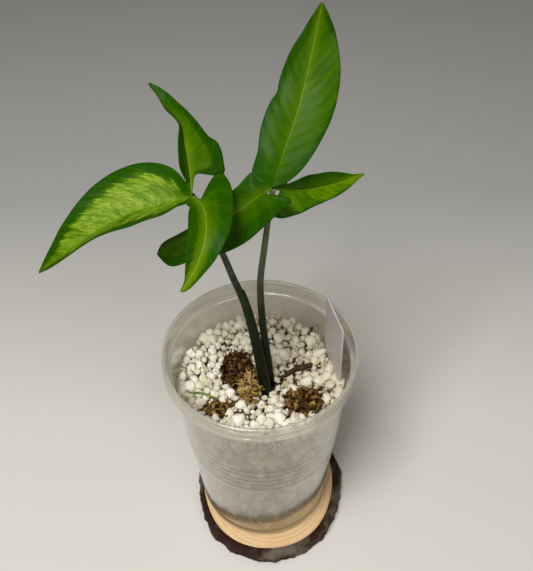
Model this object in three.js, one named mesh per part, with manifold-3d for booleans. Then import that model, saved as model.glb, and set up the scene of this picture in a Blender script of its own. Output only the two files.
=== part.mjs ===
// A young syngonium: two three-lobed leaves on long stalks, grown from white perlite
// in a clear plastic cup, which stands on a thin slice of a branch.
// Millimetres, +Z up. The origin is on the cup's axis, at the underside of the slice.

import * as THREE from 'three';
import { mergeVertices } from 'three/addons/utils/BufferGeometryUtils.js';
import loadManifold from 'manifold-3d';

const wasm = await loadManifold();
wasm.setup();

// Driving dimensions

const GAP = 0.3; // clearance between pieces that rest on or in each other

const SLICE_THICKNESS = 9;
const SLICE_CENTRE = [2.3, 0]; // the cup stands a little off the middle of the slice
const WOOD_RADII = [39.3, 43.6]; // the branch grew oval
const BARK_THICKNESS = 4;
const BARK_RELIEF = 1.4;

const RIM_RADIUS = 47.5;
const CUP_HEIGHT = 123;
const WALL_THICKNESS = 0.9;
const FOOT_RADIUS = 36;
const SHOULDER_RADIUS = 44.4; // outside of the wall, right under the rim
const RIM_DEPTH = 8.5;
const FLOOR_LIFT = 4.8; // the floor stands this far above the foot ring's underside
const FOOT_RING = 5; // width of the foot ring, a channel that is open to the inside

const BED_DEPTH = 92.4; // from the cup's floor to the level of the perlite
const LUMP_SIZES = [1.7, 4.4]; // smallest and largest radius of a perlite lump
const LUMP_ROUGHNESS = 0.16; // share of its radius that a corner of a lump moves by
const LUMP_TRIES = 2000;
const LUMP_FLATNESS = 0.86; // height of a lump over its width
const HEAP_HEIGHT = 9; // no lump reaches higher than this above the level of the perlite
const SIDE_RELIEF = 1.1; // deepest dent between the grains that touch the wall

const STEM_CENTRE = [3.5, -4.5];
const STEM_HOLE = { top: 7, bottom: 2.2, depth: 50 };
const ROOTS = 5;

const LEAF_THICKNESS = 0.7;
const RIB_THICKNESS = 1.5;
const LOBE_ROWS = 18;
const HALF_COLUMNS = 3;
const ROW_PACKING = 1.15; // above 1 the rows lie closer at the base of a lobe
const VEIN_HOOK = 18; // degrees that a vein turns forward between midrib and margin

const LABEL = { width: 25, shoulder: 38, length: 62, thickness: 0.8, tip: 2 };
const LABEL_TOP = [36.2, 9.3, 144.5]; // middle of the top edge
const LABEL_TURN = -78; // degrees about Z, from +X to the direction of the top edge
const LABEL_LEAN = 4; // degrees in its own plane

const BASE_Z = SLICE_THICKNESS + GAP;
const RIM_Z = BASE_Z + CUP_HEIGHT;
const FLOOR_Z = BASE_Z + FLOOR_LIFT + WALL_THICKNESS;
const BED_Z = FLOOR_Z + BED_DEPTH;
const CUP_SEGMENTS = 48;

// Numbers and curves

function seededRandom(seed) {
  let state = seed;
  return () => {
    state = (state * 1664525 + 1013904223) % 4294967296;
    return state / 4294967296;
  };
}

const radians = THREE.MathUtils.degToRad;

// A smooth run through evenly spaced values, t from 0 to 1.
function along(values, t) {
  const last = values.length - 1;
  const place = THREE.MathUtils.clamp(t, 0, 1) * last;
  const i = Math.min(Math.floor(place), last - 1);
  const f = place - i;
  const b = values[i];
  const c = values[i + 1];
  const a = i > 0 ? values[i - 1] : 2 * b - c;
  const d = i < last - 1 ? values[i + 2] : 2 * c - b;
  return b + 0.5 * f * (c - a + f * (2 * a - 5 * b + 4 * c - d + f * (3 * (b - c) + d - a)));
}

const curveThrough = (points) =>
  new THREE.CatmullRomCurve3(points.map((p) => new THREE.Vector3(...p)), false, 'catmullrom', 0.5);

const cupRadius = (z) =>
  FOOT_RADIUS + ((SHOULDER_RADIUS - FOOT_RADIUS) * (z - BASE_Z)) / (CUP_HEIGHT - RIM_DEPTH);

// Solids

function indexed(positions, triangles) {
  const geometry = new THREE.BufferGeometry();
  geometry.setAttribute('position', new THREE.Float32BufferAttribute(positions, 3));
  geometry.setIndex(triangles);
  return geometry;
}

function welded(geometry) {
  const bare = geometry.clone();
  bare.deleteAttribute('normal');
  bare.deleteAttribute('uv');
  return mergeVertices(bare, 1e-4);
}

function signedVolume(geometry) {
  const p = geometry.attributes.position;
  const index = geometry.index;
  const [a, b, c] = [0, 1, 2].map(() => new THREE.Vector3());
  let sum = 0;
  for (let i = 0; i < index.count; i += 3) {
    a.fromBufferAttribute(p, index.getX(i));
    b.fromBufferAttribute(p, index.getX(i + 1));
    c.fromBufferAttribute(p, index.getX(i + 2));
    sum += a.dot(b.cross(c));
  }
  return sum / 6;
}

// Welds a closed geometry and turns its faces outward.
function closed(geometry) {
  const solid = welded(geometry);
  if (signedVolume(solid) > 0) return solid;
  const flipped = Array.from(solid.index.array);
  for (let i = 0; i < flipped.length; i += 3) {
    [flipped[i], flipped[i + 1]] = [flipped[i + 1], flipped[i]];
  }
  solid.setIndex(flipped);
  return solid;
}

function toManifold(geometry) {
  const solid = closed(geometry);
  const mesh = new wasm.Mesh({
    numProp: 3,
    vertProperties: new Float32Array(solid.attributes.position.array),
    triVerts: new Uint32Array(solid.index.array),
  });
  return new wasm.Manifold(mesh);
}

// Keeps the outer shell: loose scraps are dropped and sealed hollows are filled.
function fromManifold(manifold) {
  const shells = manifold.decompose().sort((a, b) => b.volume() - a.volume());
  const mesh = shells[0].getMesh();
  return indexed(Array.from(mesh.vertProperties), Array.from(mesh.triVerts));
}

const joined = (geometries) =>
  geometries.map(toManifold).reduce((whole, piece) => whole.add(piece));

// A closed body of revolution about Z. Each ring gives [radius, height] at a segment.
function revolved(rings, segments) {
  const positions = [];
  const triangles = [];
  const vertex = (ring, segment) => 1 + ring * segments + (segment % segments);
  positions.push(0, 0, rings[0](0)[1]);
  for (const ring of rings) {
    for (let s = 0; s < segments; s += 1) {
      const angle = (2 * Math.PI * s) / segments;
      const [radius, height] = ring(s);
      positions.push(radius * Math.cos(angle), radius * Math.sin(angle), height);
    }
  }
  const top = positions.length / 3;
  positions.push(0, 0, rings[rings.length - 1](0)[1]);
  for (let s = 0; s < segments; s += 1) {
    triangles.push(0, vertex(0, s + 1), vertex(0, s));
    for (let r = 0; r < rings.length - 1; r += 1) {
      triangles.push(vertex(r, s), vertex(r, s + 1), vertex(r + 1, s + 1));
      triangles.push(vertex(r, s), vertex(r + 1, s + 1), vertex(r + 1, s));
    }
    triangles.push(top, vertex(rings.length - 1, s), vertex(rings.length - 1, s + 1));
  }
  return indexed(positions, triangles);
}

// A closed tube along a curve. radiusAt(t, angle) gives its section at each step.
function tube(curve, radiusAt, sides, steps) {
  const frames = curve.computeFrenetFrames(steps, false);
  const positions = [];
  const triangles = [];
  const vertex = (step, side) => step * sides + (side % sides);
  for (let i = 0; i <= steps; i += 1) {
    const t = i / steps;
    const centre = curve.getPointAt(t);
    for (let s = 0; s < sides; s += 1) {
      const angle = (2 * Math.PI * s) / sides;
      const radius = radiusAt(t, angle);
      const point = centre
        .clone()
        .addScaledVector(frames.normals[i], radius * Math.cos(angle))
        .addScaledVector(frames.binormals[i], radius * Math.sin(angle));
      positions.push(point.x, point.y, point.z);
    }
  }
  for (let i = 0; i < steps; i += 1) {
    for (let s = 0; s < sides; s += 1) {
      triangles.push(vertex(i, s), vertex(i, s + 1), vertex(i + 1, s + 1));
      triangles.push(vertex(i, s), vertex(i + 1, s + 1), vertex(i + 1, s));
    }
  }
  for (let s = 1; s < sides - 1; s += 1) {
    triangles.push(0, vertex(0, s + 1), vertex(0, s));
    triangles.push(vertex(steps, 0), vertex(steps, s), vertex(steps, s + 1));
  }
  return indexed(positions, triangles);
}

// Slice of a branch: pale sawn wood inside a rough bark

function woodSlice() {
  const segments = 72;
  const random = seededRandom(11);
  const chip = Array.from({ length: segments }, random);
  const [rx, ry] = WOOD_RADII;
  const wood = (s) => {
    const angle = (2 * Math.PI * s) / segments;
    const oval = (rx * ry) / Math.hypot(ry * Math.cos(angle), rx * Math.sin(angle));
    return oval + 0.4 * Math.sin(5 * angle);
  };
  const barkRing = (share, z) => {
    const rough = Array.from({ length: segments }, random);
    return (s) => [wood(s) + BARK_THICKNESS * share + BARK_RELIEF * (rough[s] - 0.3), z];
  };
  const rings = [
    (s) => [wood(s) * 0.98, 0],
    (s) => [wood(s) + BARK_THICKNESS * (0.5 + 0.3 * chip[s]), 0.4],
    barkRing(1.0, 2.2),
    barkRing(0.9, 4.4),
    barkRing(1.05, 6.6),
    (s) => [wood(s) + BARK_THICKNESS * (0.75 + 0.3 * chip[s]), SLICE_THICKNESS - 0.6],
    (s) => [wood(s) + 0.9, SLICE_THICKNESS - 0.5],
    (s) => [wood(s), SLICE_THICKNESS],
  ];
  return closed(revolved(rings, segments).translate(...SLICE_CENTRE, 0));
}

// Cup: thin clear plastic, a tapered wall, a raised floor inside a hollow foot ring, and
// a stepped rim for a lid

function cup() {
  const wall = WALL_THICKNESS;
  const outside = [
    [0, BASE_Z + FLOOR_LIFT],
    [FOOT_RADIUS - FOOT_RING - 0.5, BASE_Z + FLOOR_LIFT],
    [FOOT_RADIUS - FOOT_RING + 0.3, BASE_Z],
    [FOOT_RADIUS - 1.2, BASE_Z],
    [cupRadius(BASE_Z + 2), BASE_Z + 2],
    [cupRadius(RIM_Z - RIM_DEPTH), RIM_Z - RIM_DEPTH],
    [RIM_RADIUS - 0.5, RIM_Z - RIM_DEPTH],
    [RIM_RADIUS, RIM_Z - RIM_DEPTH + 1.2],
    [RIM_RADIUS, RIM_Z - 4.4],
    [RIM_RADIUS - 0.6, RIM_Z - 3.6],
    [RIM_RADIUS, RIM_Z - 2.6],
    [RIM_RADIUS, RIM_Z - 0.8],
    [RIM_RADIUS - 0.8, RIM_Z],
  ];
  const inside = [
    [RIM_RADIUS - 1.7, RIM_Z - 0.2],
    [RIM_RADIUS - 2.2, RIM_Z - RIM_DEPTH + 1],
    [cupRadius(RIM_Z - RIM_DEPTH) - wall, RIM_Z - RIM_DEPTH - 0.4],
    [cupRadius(BASE_Z + 2.4) - wall, BASE_Z + 2.4],
    [FOOT_RADIUS - 1.6, BASE_Z + wall],
    [FOOT_RADIUS - FOOT_RING + 1.2, BASE_Z + wall],
    [FOOT_RADIUS - FOOT_RING + 0.4, FLOOR_Z],
    [0, FLOOR_Z],
  ];
  const profile = [...outside, ...inside].map(([r, z]) => new THREE.Vector2(r, z));
  const geometry = new THREE.LatheGeometry(profile, CUP_SEGMENTS);
  geometry.rotateX(Math.PI / 2);
  return closed(geometry);
}

// Perlite: the filling of the cup, lumpy at the wall and on top, with a plain hole for
// the stem and a slot for the label

const bedWall = (z) => cupRadius(z) - WALL_THICKNESS - GAP;

function bedBody() {
  const random = seededRandom(23);
  const rows = 11;
  const base = FLOOR_Z + GAP;
  const rings = [() => [bedWall(base + 2) - 3.2, base]];
  for (let row = 0; row <= rows; row += 1) {
    const z = THREE.MathUtils.lerp(base + 2, BED_Z, row / rows);
    const dents = Array.from({ length: CUP_SEGMENTS }, () => SIDE_RELIEF * random() ** 2);
    rings.push((s) => [bedWall(z) - dents[s], z]);
  }
  return revolved(rings, CUP_SEGMENTS);
}

// What stands on the perlite keeps its ground free of lumps: [x, y, radius].
const MOSS_CLUMPS = [
  { name: 'moss_centre', centre: [-9, 1], spread: [9, 15.5], height: 8, strands: 10, seed: 41 },
  { name: 'moss_right', centre: [19, -13], spread: [11.5, 9], height: 6, strands: 9, seed: 58 },
  { name: 'moss_left', centre: [-21, -17.5], spread: [8, 6], height: 5, strands: 7, seed: 73 },
];
const TWIG = { from: [10, -0.5], to: [26, 6], lift: 1.2, radii: [0.9, 1.1, 1.4, 1.5] };

function onFreeGround(x, y, size) {
  const radius = size * (1 + LUMP_ROUGHNESS);
  const nearStem = Math.hypot(x - STEM_CENTRE[0], y - STEM_CENTRE[1]) < STEM_HOLE.top - 2 + radius;
  const nearMoss = MOSS_CLUMPS.some(({ centre, spread }) => {
    const dx = (x - centre[0]) / (spread[0] + radius + GAP);
    const dy = (y - centre[1]) / (spread[1] + radius + GAP);
    return Math.hypot(dx, dy) < 1.02;
  });
  const [ax, ay] = TWIG.from;
  const [bx, by] = TWIG.to;
  const share = ((x - ax) * (bx - ax) + (y - ay) * (by - ay)) / ((bx - ax) ** 2 + (by - ay) ** 2);
  const t = THREE.MathUtils.clamp(share, -0.05, 1.05);
  const nearTwig = Math.hypot(x - ax - t * (bx - ax), y - ay - t * (by - ay)) < radius + 1.8;
  return !nearStem && !nearMoss && !nearTwig;
}

function lump(random, x, y, radius) {
  const geometry = welded(new THREE.IcosahedronGeometry(radius, 0));
  const p = geometry.attributes.position;
  for (let i = 0; i < p.count; i += 1) {
    const k = 1 + LUMP_ROUGHNESS * (2 * random() - 1);
    p.setXYZ(i, p.getX(i) * k, p.getY(i) * k, p.getZ(i) * k * LUMP_FLATNESS);
  }
  geometry.rotateZ(random() * Math.PI * 2);
  geometry.translate(x, y, BED_Z + radius * (0.1 + 0.35 * random()));
  return geometry;
}

// Lumps are dropped one by one, the large ones first, where they overlap least.
function perliteLumps() {
  const random = seededRandom(5);
  const placed = [];
  for (let i = 0; i < LUMP_TRIES; i += 1) {
    const size = THREE.MathUtils.lerp(LUMP_SIZES[1], LUMP_SIZES[0], i / LUMP_TRIES);
    const angle = random() * Math.PI * 2;
    const reach = (bedWall(BED_Z) - size * 0.8) * Math.sqrt(random());
    const [x, y] = [reach * Math.cos(angle), reach * Math.sin(angle)];
    const clear = placed.every((q) => Math.hypot(q.x - x, q.y - y) > 0.8 * (q.size + size));
    if (clear && onFreeGround(x, y, size)) placed.push({ x, y, size });
  }
  return placed.map(({ x, y, size }) => lump(random, x, y, size));
}

function stemHole() {
  const [x, y] = STEM_CENTRE;
  const { top, bottom, depth } = STEM_HOLE;
  const rings = [() => [bottom, BED_Z - depth], () => [top, BED_Z - 2], () => [top, BED_Z + 12]];
  return revolved(rings, 20).translate(x, y, 0);
}

function perliteBed() {
  const envelope = revolved(
    [
      () => [bedWall(FLOOR_Z) - 3, FLOOR_Z],
      () => [bedWall(FLOOR_Z + 2), FLOOR_Z + 2],
      () => [bedWall(BED_Z), BED_Z],
      () => [bedWall(BED_Z), BED_Z + HEAP_HEIGHT],
    ],
    CUP_SEGMENTS,
  );
  const bed = joined([bedBody(), ...perliteLumps()])
    .intersect(toManifold(envelope))
    .subtract(toManifold(stemHole()))
    .subtract(toManifold(labelPlate(GAP)));
  return fromManifold(bed);
}

// Moss and shreds of dry fern: crinkled strands grown through each other

function mossStrand(random, { centre, spread, height }) {
  const heading = random() * Math.PI * 2;
  const start = random() * Math.PI * 2;
  const inset = 0.65 * Math.sqrt(random());
  const length = 0.8 + 0.5 * random();
  const points = [];
  for (let i = 0; i <= 4; i += 1) {
    const t = i / 4 - 0.5;
    const px = inset * Math.cos(start) + length * t * Math.cos(heading) + 0.12 * (random() - 0.5);
    const py = inset * Math.sin(start) + length * t * Math.sin(heading) + 0.12 * (random() - 0.5);
    const fall = Math.max(0, 1 - px * px - py * py);
    const z = BED_Z + 0.6 + height * (0.25 + 0.6 * fall) * (0.5 + 0.5 * random());
    points.push([centre[0] + spread[0] * px * 0.95, centre[1] + spread[1] * py * 0.95, z]);
  }
  const width = 1.0 + 0.6 * random();
  return tube(curveThrough(points), (t) => width * (0.45 + 0.75 * Math.sin(Math.PI * t)), 4, 5);
}

function mossClump(clump) {
  const random = seededRandom(clump.seed);
  const { centre, spread, height } = clump;
  const core = new THREE.IcosahedronGeometry(1, 1);
  core.scale(spread[0] * 0.85, spread[1] * 0.85, height * 0.5);
  core.translate(centre[0], centre[1], BED_Z + 0.3);
  const strands = Array.from({ length: clump.strands }, () => mossStrand(random, clump));
  const tall = 2 * height;
  const plot = new THREE.CylinderGeometry(1, 1, tall, 20).rotateX(Math.PI / 2);
  plot.scale(spread[0], spread[1], 1);
  plot.translate(centre[0], centre[1], BED_Z + GAP + tall / 2);
  const [x, y] = STEM_CENTRE;
  const clear = STEM_HOLE.top - 0.4;
  const stemRoom = revolved([() => [clear, BED_Z - 2], () => [clear, BED_Z + tall]], 16);
  const tuft = joined([core, ...strands])
    .intersect(toManifold(plot))
    .subtract(toManifold(stemRoom.translate(x - 0.5, y, 0)));
  return fromManifold(tuft);
}

function twig() {
  const [ax, ay] = TWIG.from;
  const [bx, by] = TWIG.to;
  const z = (t) => BED_Z + GAP + along(TWIG.radii, t) + TWIG.lift * t * 0.5;
  const points = [0, 0.35, 0.7, 1].map((t) => {
    const bow = 0.8 * Math.sin(Math.PI * t);
    return [ax + (bx - ax) * t, ay + (by - ay) * t + bow, z(t)];
  });
  const grain = (t, angle) => along(TWIG.radii, t) * (0.9 + 0.1 * Math.cos(3 * angle + 5 * t));
  return closed(tube(curveThrough(points), grain, 7, 8));
}

// Label: a plain strip of white plastic, pushed into the perlite beside the wall

function labelPlate(grow) {
  const half = LABEL.width / 2 + grow;
  const outline = new THREE.Shape();
  outline.moveTo(-half, grow);
  outline.lineTo(-half, -LABEL.shoulder);
  outline.lineTo(-LABEL.tip - grow, -LABEL.length - grow);
  outline.lineTo(LABEL.tip + grow, -LABEL.length - grow);
  outline.lineTo(half, -LABEL.shoulder);
  outline.lineTo(half, grow);
  const depth = LABEL.thickness + 2 * grow;
  const plate = new THREE.ExtrudeGeometry(outline, { depth, bevelEnabled: false });
  plate.translate(0, 0, -depth / 2);
  plate.rotateZ(radians(LABEL_LEAN));
  plate.rotateX(Math.PI / 2);
  plate.rotateZ(radians(LABEL_TURN));
  plate.translate(...LABEL_TOP);
  return closed(plate);
}

// Stem and roots, in the hole below the stalks

function stemAndRoots() {
  const [x, y] = STEM_CENTRE;
  const top = BED_Z - 4.2;
  const stem = revolved(
    [() => [1.5, top - 16], () => [4.6, top - 12], () => [5.6, top - 1.2], () => [5.2, top]],
    12,
  ).translate(x, y, 0);
  const roots = Array.from({ length: ROOTS }, (_, i) => {
    const turn = (2 * Math.PI * i) / ROOTS;
    const points = [0, 1, 2, 3, 4].map((k) => {
      const angle = turn + 0.35 * k;
      const reach = THREE.MathUtils.lerp(3.2, 0.9, k / 4);
      return [x + reach * Math.cos(angle), y + reach * Math.sin(angle), top - 10 - 8 * k];
    });
    return tube(curveThrough(points), (t) => 1.2 - 0.5 * t, 4, 6);
  });
  return fromManifold(joined([stem, ...roots]));
}

// Leaf stalks

const STALKS = [
  {
    name: 'petiole_right',
    path: [
      [4.6, -1.6, 104.2],
      [3.2, -0.4, 127],
      [1.5, -0.2, 151],
      [1, 0.2, 174],
      [2.5, 1, 193],
      [4.1, 2.6, 210],
      [4.7, 3.3, 221.6],
    ],
    radii: [2.6, 2.0, 1.7, 1.5, 1.35, 1.2, 1.1],
    groove: 0.14,
  },
  {
    name: 'petiole_left',
    path: [
      [2.4, -7.6, 104.2],
      [-1.3, -3.8, 135],
      [-6, 0.8, 160],
      [-11, 5, 173.5],
      [-15.5, 9.5, 185],
      [-21, 11.8, 200],
      [-24.6, 6.2, 217.2],
    ],
    radii: [2.9, 2.35, 2.2, 1.6, 1.45, 1.35, 1.2],
    groove: 0.1,
  },
];

function petiole({ path, radii, groove }) {
  const section = (t, angle) => along(radii, t) * (1 - groove * Math.max(0, Math.cos(angle)) ** 4);
  return closed(tube(curveThrough(path), section, 9, 26));
}

// Leaves: each is one sheet of three lobes that meet where the stalk ends. A lobe is
// given by its midrib, the way its upper face looks, and for either half the width of
// the half, the sweep of its veins, and how far it folds and curls, all read from the
// base of the lobe to its tip. Left is seen from above with the tip ahead.

const RIGHT_JUNCTION = [6.5, 2, 224];
const LEFT_JUNCTION = [-25, 5, 218.5];

const RIGHT_LEAF = {
  middle: {
    rib: [
      RIGHT_JUNCTION, [11, 13, 231], [16.5, 25, 240.5],
      [20.5, 34, 251], [24, 40, 264.5], [26.5, 42, 278],
    ],
    face: [[-0.1, -0.75, 0.7], [-0.1, -0.8, 0.6], [-0.1, -0.85, 0.5], [-0.1, -0.9, 0.5]],
    wave: { height: 0.8, count: 3, shift: 1.2 },
    left: {
      width: [0, 7.5, 11, 12.2, 11.7, 11.5, 11, 9, 6.2, 3.6, 0.5],
      sweep: [-80, -60, -40, -15, 0, 8, 14, 18, 22, 26, 30],
      fold: [10, 14, 14, 12, 8],
      curl: [0, -20, -25, -20, 0],
    },
    right: {
      width: [0, 6.5, 10.5, 13, 14.5, 15.2, 14.5, 12, 8.7, 5, 0.5],
      sweep: [-50, -30, -15, -5, 0, 8, 14, 18, 22, 26, 30],
      fold: [10, 14, 14, 12, 8],
      curl: [0, -20, -25, -20, 0],
    },
  },
  outer: {
    rib: [RIGHT_JUNCTION, [16, 6, 219.5], [24, 11, 216.5], [35, 17, 215], [45, 22, 215.5]],
    face: [[-0.1, -1, 0.1], [0, -0.7, 0.7], [0.1, -0.35, 0.9]],
    wave: { height: 0.5, count: 2, shift: 0 },
    left: {
      width: [0, 2.5, 5.5, 6.2, 6.3, 6.2, 6, 5, 3.5, 1.5, 0.5],
      sweep: [-30, -20, -10, -5, 0, 5, 10, 15, 20, 25, 30],
      fold: [20, 25, 20, 10],
      curl: [0, -10, -10, 0],
    },
    right: {
      width: [0, 5, 12.5, 10, 7.5, 6.7, 6.2, 5, 3.5, 2, 0.5],
      sweep: [-20, -50, -50, -30, -15, 0, 5, 10, 15, 20, 25],
      fold: [5, 12, 15, 10],
      curl: [0, -10, -10, 0],
    },
  },
  inner: {
    rib: [
      RIGHT_JUNCTION, [-0.5, 0.5, 219.5], [-7.5, 1, 213],
      [-18, 4, 204.5], [-29.5, 7, 195], [-43.5, 10, 184],
    ],
    face: [[0.1, -0.7, 0.7], [0.1, -0.8, 0.6], [0.1, -0.8, 0.6]],
    wave: { height: 0.5, count: 2, shift: 0 },
    left: {
      width: [0, 3.5, 16, 14, 12.5, 12.7, 12.5, 11, 9.5, 7, 0.5],
      sweep: [-72, -74, -74, -62, -50, -30, -15, 0, 10, 20, 25],
      fold: [8, 10, 10, 8],
      curl: [0, -10, -10, 0],
    },
    right: {
      width: [0, 4.5, 7.5, 8, 7.8, 6.5, 5, 3.7, 3.5, 3, 0.5],
      sweep: [-40, -30, -20, -10, 0, 5, 10, 15, 20, 25, 30],
      fold: [10, 14, 16, 10],
      curl: [0, -10, -10, 0],
    },
  },
  // Lobe, its half, lobe, its half, and the rows over which the two margins grow together.
  joins: [
    ['middle', 'left', 'inner', 'right', 4],
    ['middle', 'right', 'outer', 'left', 2],
  ],
};

const LEFT_LEAF = {
  middle: {
    rib: [
      LEFT_JUNCTION, [-34.5, 5, 215.5], [-46, 3, 213.5],
      [-57, -1, 211], [-70.5, -6, 204.5], [-88, -10, 193],
    ],
    face: [[-0.2, -0.15, 1], [-0.3, -0.15, 1], [-0.4, -0.15, 0.9]],
    wave: { height: 0.4, count: 2, shift: 0 },
    left: {
      width: [0, 5.5, 11, 13.5, 16.5, 17, 14.5, 12.5, 10.5, 6.5, 0.5],
      sweep: [-40, -30, -15, -5, 0, 5, 10, 15, 18, 18, 18],
      fold: [24, 26, 26, 20],
      curl: [0, -5, -5, 0],
    },
    right: {
      width: [0, 7, 15, 19.5, 20.3, 18.7, 16.5, 14, 11.3, 6.5, 0.5],
      sweep: [-70, -50, -30, -15, -5, 0, 5, 10, 15, 20, 25],
      fold: [30, 32, 30, 20],
      curl: [0, -12, -12, 0],
    },
  },
  upper: {
    rib: [
      LEFT_JUNCTION, [-25.5, 9, 229], [-26, 13, 236.5],
      [-27, 22, 240.5], [-34, 36, 241], [-42, 42, 247.5],
    ],
    face: [
      [0.3, -0.8, 0.5], [0.3, -0.8, 0.5], [0.5, -0.6, 0.5],
      [0.2, -0.5, 0.8], [-0.2, -0.3, 0.9],
    ],
    wave: { height: 0.3, count: 2, shift: 0 },
    left: {
      width: [0, 2, 5, 5.5, 5, 4.3, 4, 3, 1.7, 0.8, 0.5],
      sweep: [-30, -20, -10, 0, 5, 10, 10, 10, 15, 20, 20],
      fold: [30, 40, 40, 20, 10],
      curl: [0, 0, 0, 0],
    },
    right: {
      width: [0, 3, 14, 14.5, 13, 10.3, 5.5, 3.3, 3, 2.3, 0.5],
      sweep: [-48, -44, -40, -26, -12, -5, 0, 5, 10, 15, 20],
      fold: [5, 5, 10, 15, 10],
      curl: [0, -10, -10, 0],
    },
  },
  lower: {
    rib: [
      LEFT_JUNCTION, [-20, -4, 219.5], [-18.5, -13, 217.5],
      [-19.5, -20, 213.5], [-23, -25, 206.5], [-28.5, -29, 199],
    ],
    face: [[0, -0.6, 0.8], [0, -0.8, 0.6], [0, -0.9, 0.4]],
    wave: { height: 0.3, count: 2, shift: 0 },
    left: {
      width: [0, 3, 14.5, 12.7, 9.7, 7.2, 5.8, 4.2, 3.2, 2.2, 0.5],
      sweep: [-58, -54, -50, -45, -25, -10, 0, 5, 10, 15, 20],
      fold: [10, 12, 12, 8],
      curl: [0, -15, -10, 0],
    },
    right: {
      width: [0, 3.5, 6, 7.2, 7.5, 7.3, 6.6, 5.4, 3.8, 1.7, 0.5],
      sweep: [-30, -20, -10, 0, 5, 10, 15, 15, 20, 25, 30],
      fold: [15, 20, 20, 10],
      curl: [0, -10, -10, 0],
    },
  },
  joins: [
    ['middle', 'right', 'upper', 'left', 2],
    ['middle', 'left', 'lower', 'right', 2],
  ],
};

// One row of points across a lobe, from its left margin over the midrib to its right.
function lobeRow(lobe, rib, t) {
  const centre = rib.getPoint(t);
  const ahead = rib.getTangent(t);
  const looks = [0, 1, 2].map((axis) => along(lobe.face.map((f) => f[axis]), t));
  const face = new THREE.Vector3(...looks);
  const up = face.addScaledVector(ahead, -face.dot(ahead)).normalize();
  const leftward = new THREE.Vector3().crossVectors(up, ahead);
  const ease = Math.min(1, 8 * t) * Math.min(1, 5 * (1 - t));
  const row = [];
  for (let column = -HALF_COLUMNS; column <= HALF_COLUMNS; column += 1) {
    const half = column < 0 ? lobe.left : lobe.right;
    const side = column < 0 ? 1 : -1;
    const s = Math.abs(column) / HALF_COLUMNS;
    const width = Math.max(along(half.width, t), 0);
    const slant = radians(along(half.sweep, t) + VEIN_HOOK * s);
    const fold = radians(along(half.fold, t));
    const curl = radians(along(half.curl, t)) || 1e-3;
    const out = (width * (Math.sin(fold + curl * s) - Math.sin(fold))) / curl;
    const lift = (width * (Math.cos(fold) - Math.cos(fold + curl * s))) / curl;
    const { height, count, shift } = lobe.wave;
    const phase = 2 * Math.PI * count * t + shift * (side > 0 ? 1 : 2);
    const ripple = height * s * s * Math.sin(phase) * ease;
    const point = centre
      .clone()
      .addScaledVector(leftward, side * out * Math.cos(slant))
      .addScaledVector(ahead, out * Math.sin(slant))
      .addScaledVector(up, lift + ripple);
    row.push(point);
  }
  return row;
}

function lobeGrid(lobe) {
  const rib = curveThrough(lobe.rib);
  const rows = [];
  for (let i = 0; i <= LOBE_ROWS; i += 1) rows.push(lobeRow(lobe, rib, (i / LOBE_ROWS) ** ROW_PACKING));
  return rows;
}

// Draws the margins of two lobes together over the first rows, and eases the rest of
// each half after them.
function growTogether(gridA, sideA, gridB, sideB, rows) {
  const last = 2 * HALF_COLUMNS;
  for (let i = 0; i <= rows; i += 1) {
    const marginA = gridA[i][sideA === 'left' ? 0 : last].clone();
    const marginB = gridB[i][sideB === 'left' ? 0 : last].clone();
    const middle = marginA.clone().lerp(marginB, 0.5);
    for (const [grid, side, margin] of [[gridA, sideA, marginA], [gridB, sideB, marginB]]) {
      for (let k = 0; k < HALF_COLUMNS; k += 1) {
        const column = side === 'left' ? k : last - k;
        const share = (1 - k / HALF_COLUMNS) ** 2;
        grid[i][column].addScaledVector(middle.clone().sub(margin), share);
      }
    }
  }
}

// The sheet is thickened to both sides of its middle, more so under the midribs.
function leaf({ joins, ...lobes }) {
  const grids = Object.fromEntries(Object.entries(lobes).map(([key, lobe]) => [key, lobeGrid(lobe)]));
  for (const [a, sideA, b, sideB, rows] of joins) growTogether(grids[a], sideA, grids[b], sideB, rows);
  const columns = 2 * HALF_COLUMNS + 1;
  const positions = [];
  const triangles = [];
  const onRib = [];
  const known = new Map();
  const vertexAt = (point, rib) => {
    const key = point.toArray().map((v) => Math.round(v * 1e4)).join();
    if (!known.has(key)) {
      known.set(key, positions.length / 3);
      positions.push(...point);
      onRib.push(rib);
    }
    return known.get(key);
  };
  for (const grid of Object.values(grids)) {
    const ids = grid.map((row) => row.map((point, c) => vertexAt(point, c === HALF_COLUMNS)));
    for (let i = 0; i < LOBE_ROWS; i += 1) {
      for (let c = 0; c < columns - 1; c += 1) {
        const [a, b, d, e] = [ids[i][c], ids[i][c + 1], ids[i + 1][c + 1], ids[i + 1][c]];
        const leftHalf = c < HALF_COLUMNS;
        const pair = leftHalf ? [[a, b, e], [b, d, e]] : [[a, b, d], [a, d, e]];
        for (const triangle of pair) {
          if (new Set(triangle).size === 3) triangles.push(...triangle);
        }
      }
    }
  }
  const sheet = indexed(positions, triangles);
  sheet.computeVertexNormals();
  return closed(thickened(sheet, onRib));
}

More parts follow.
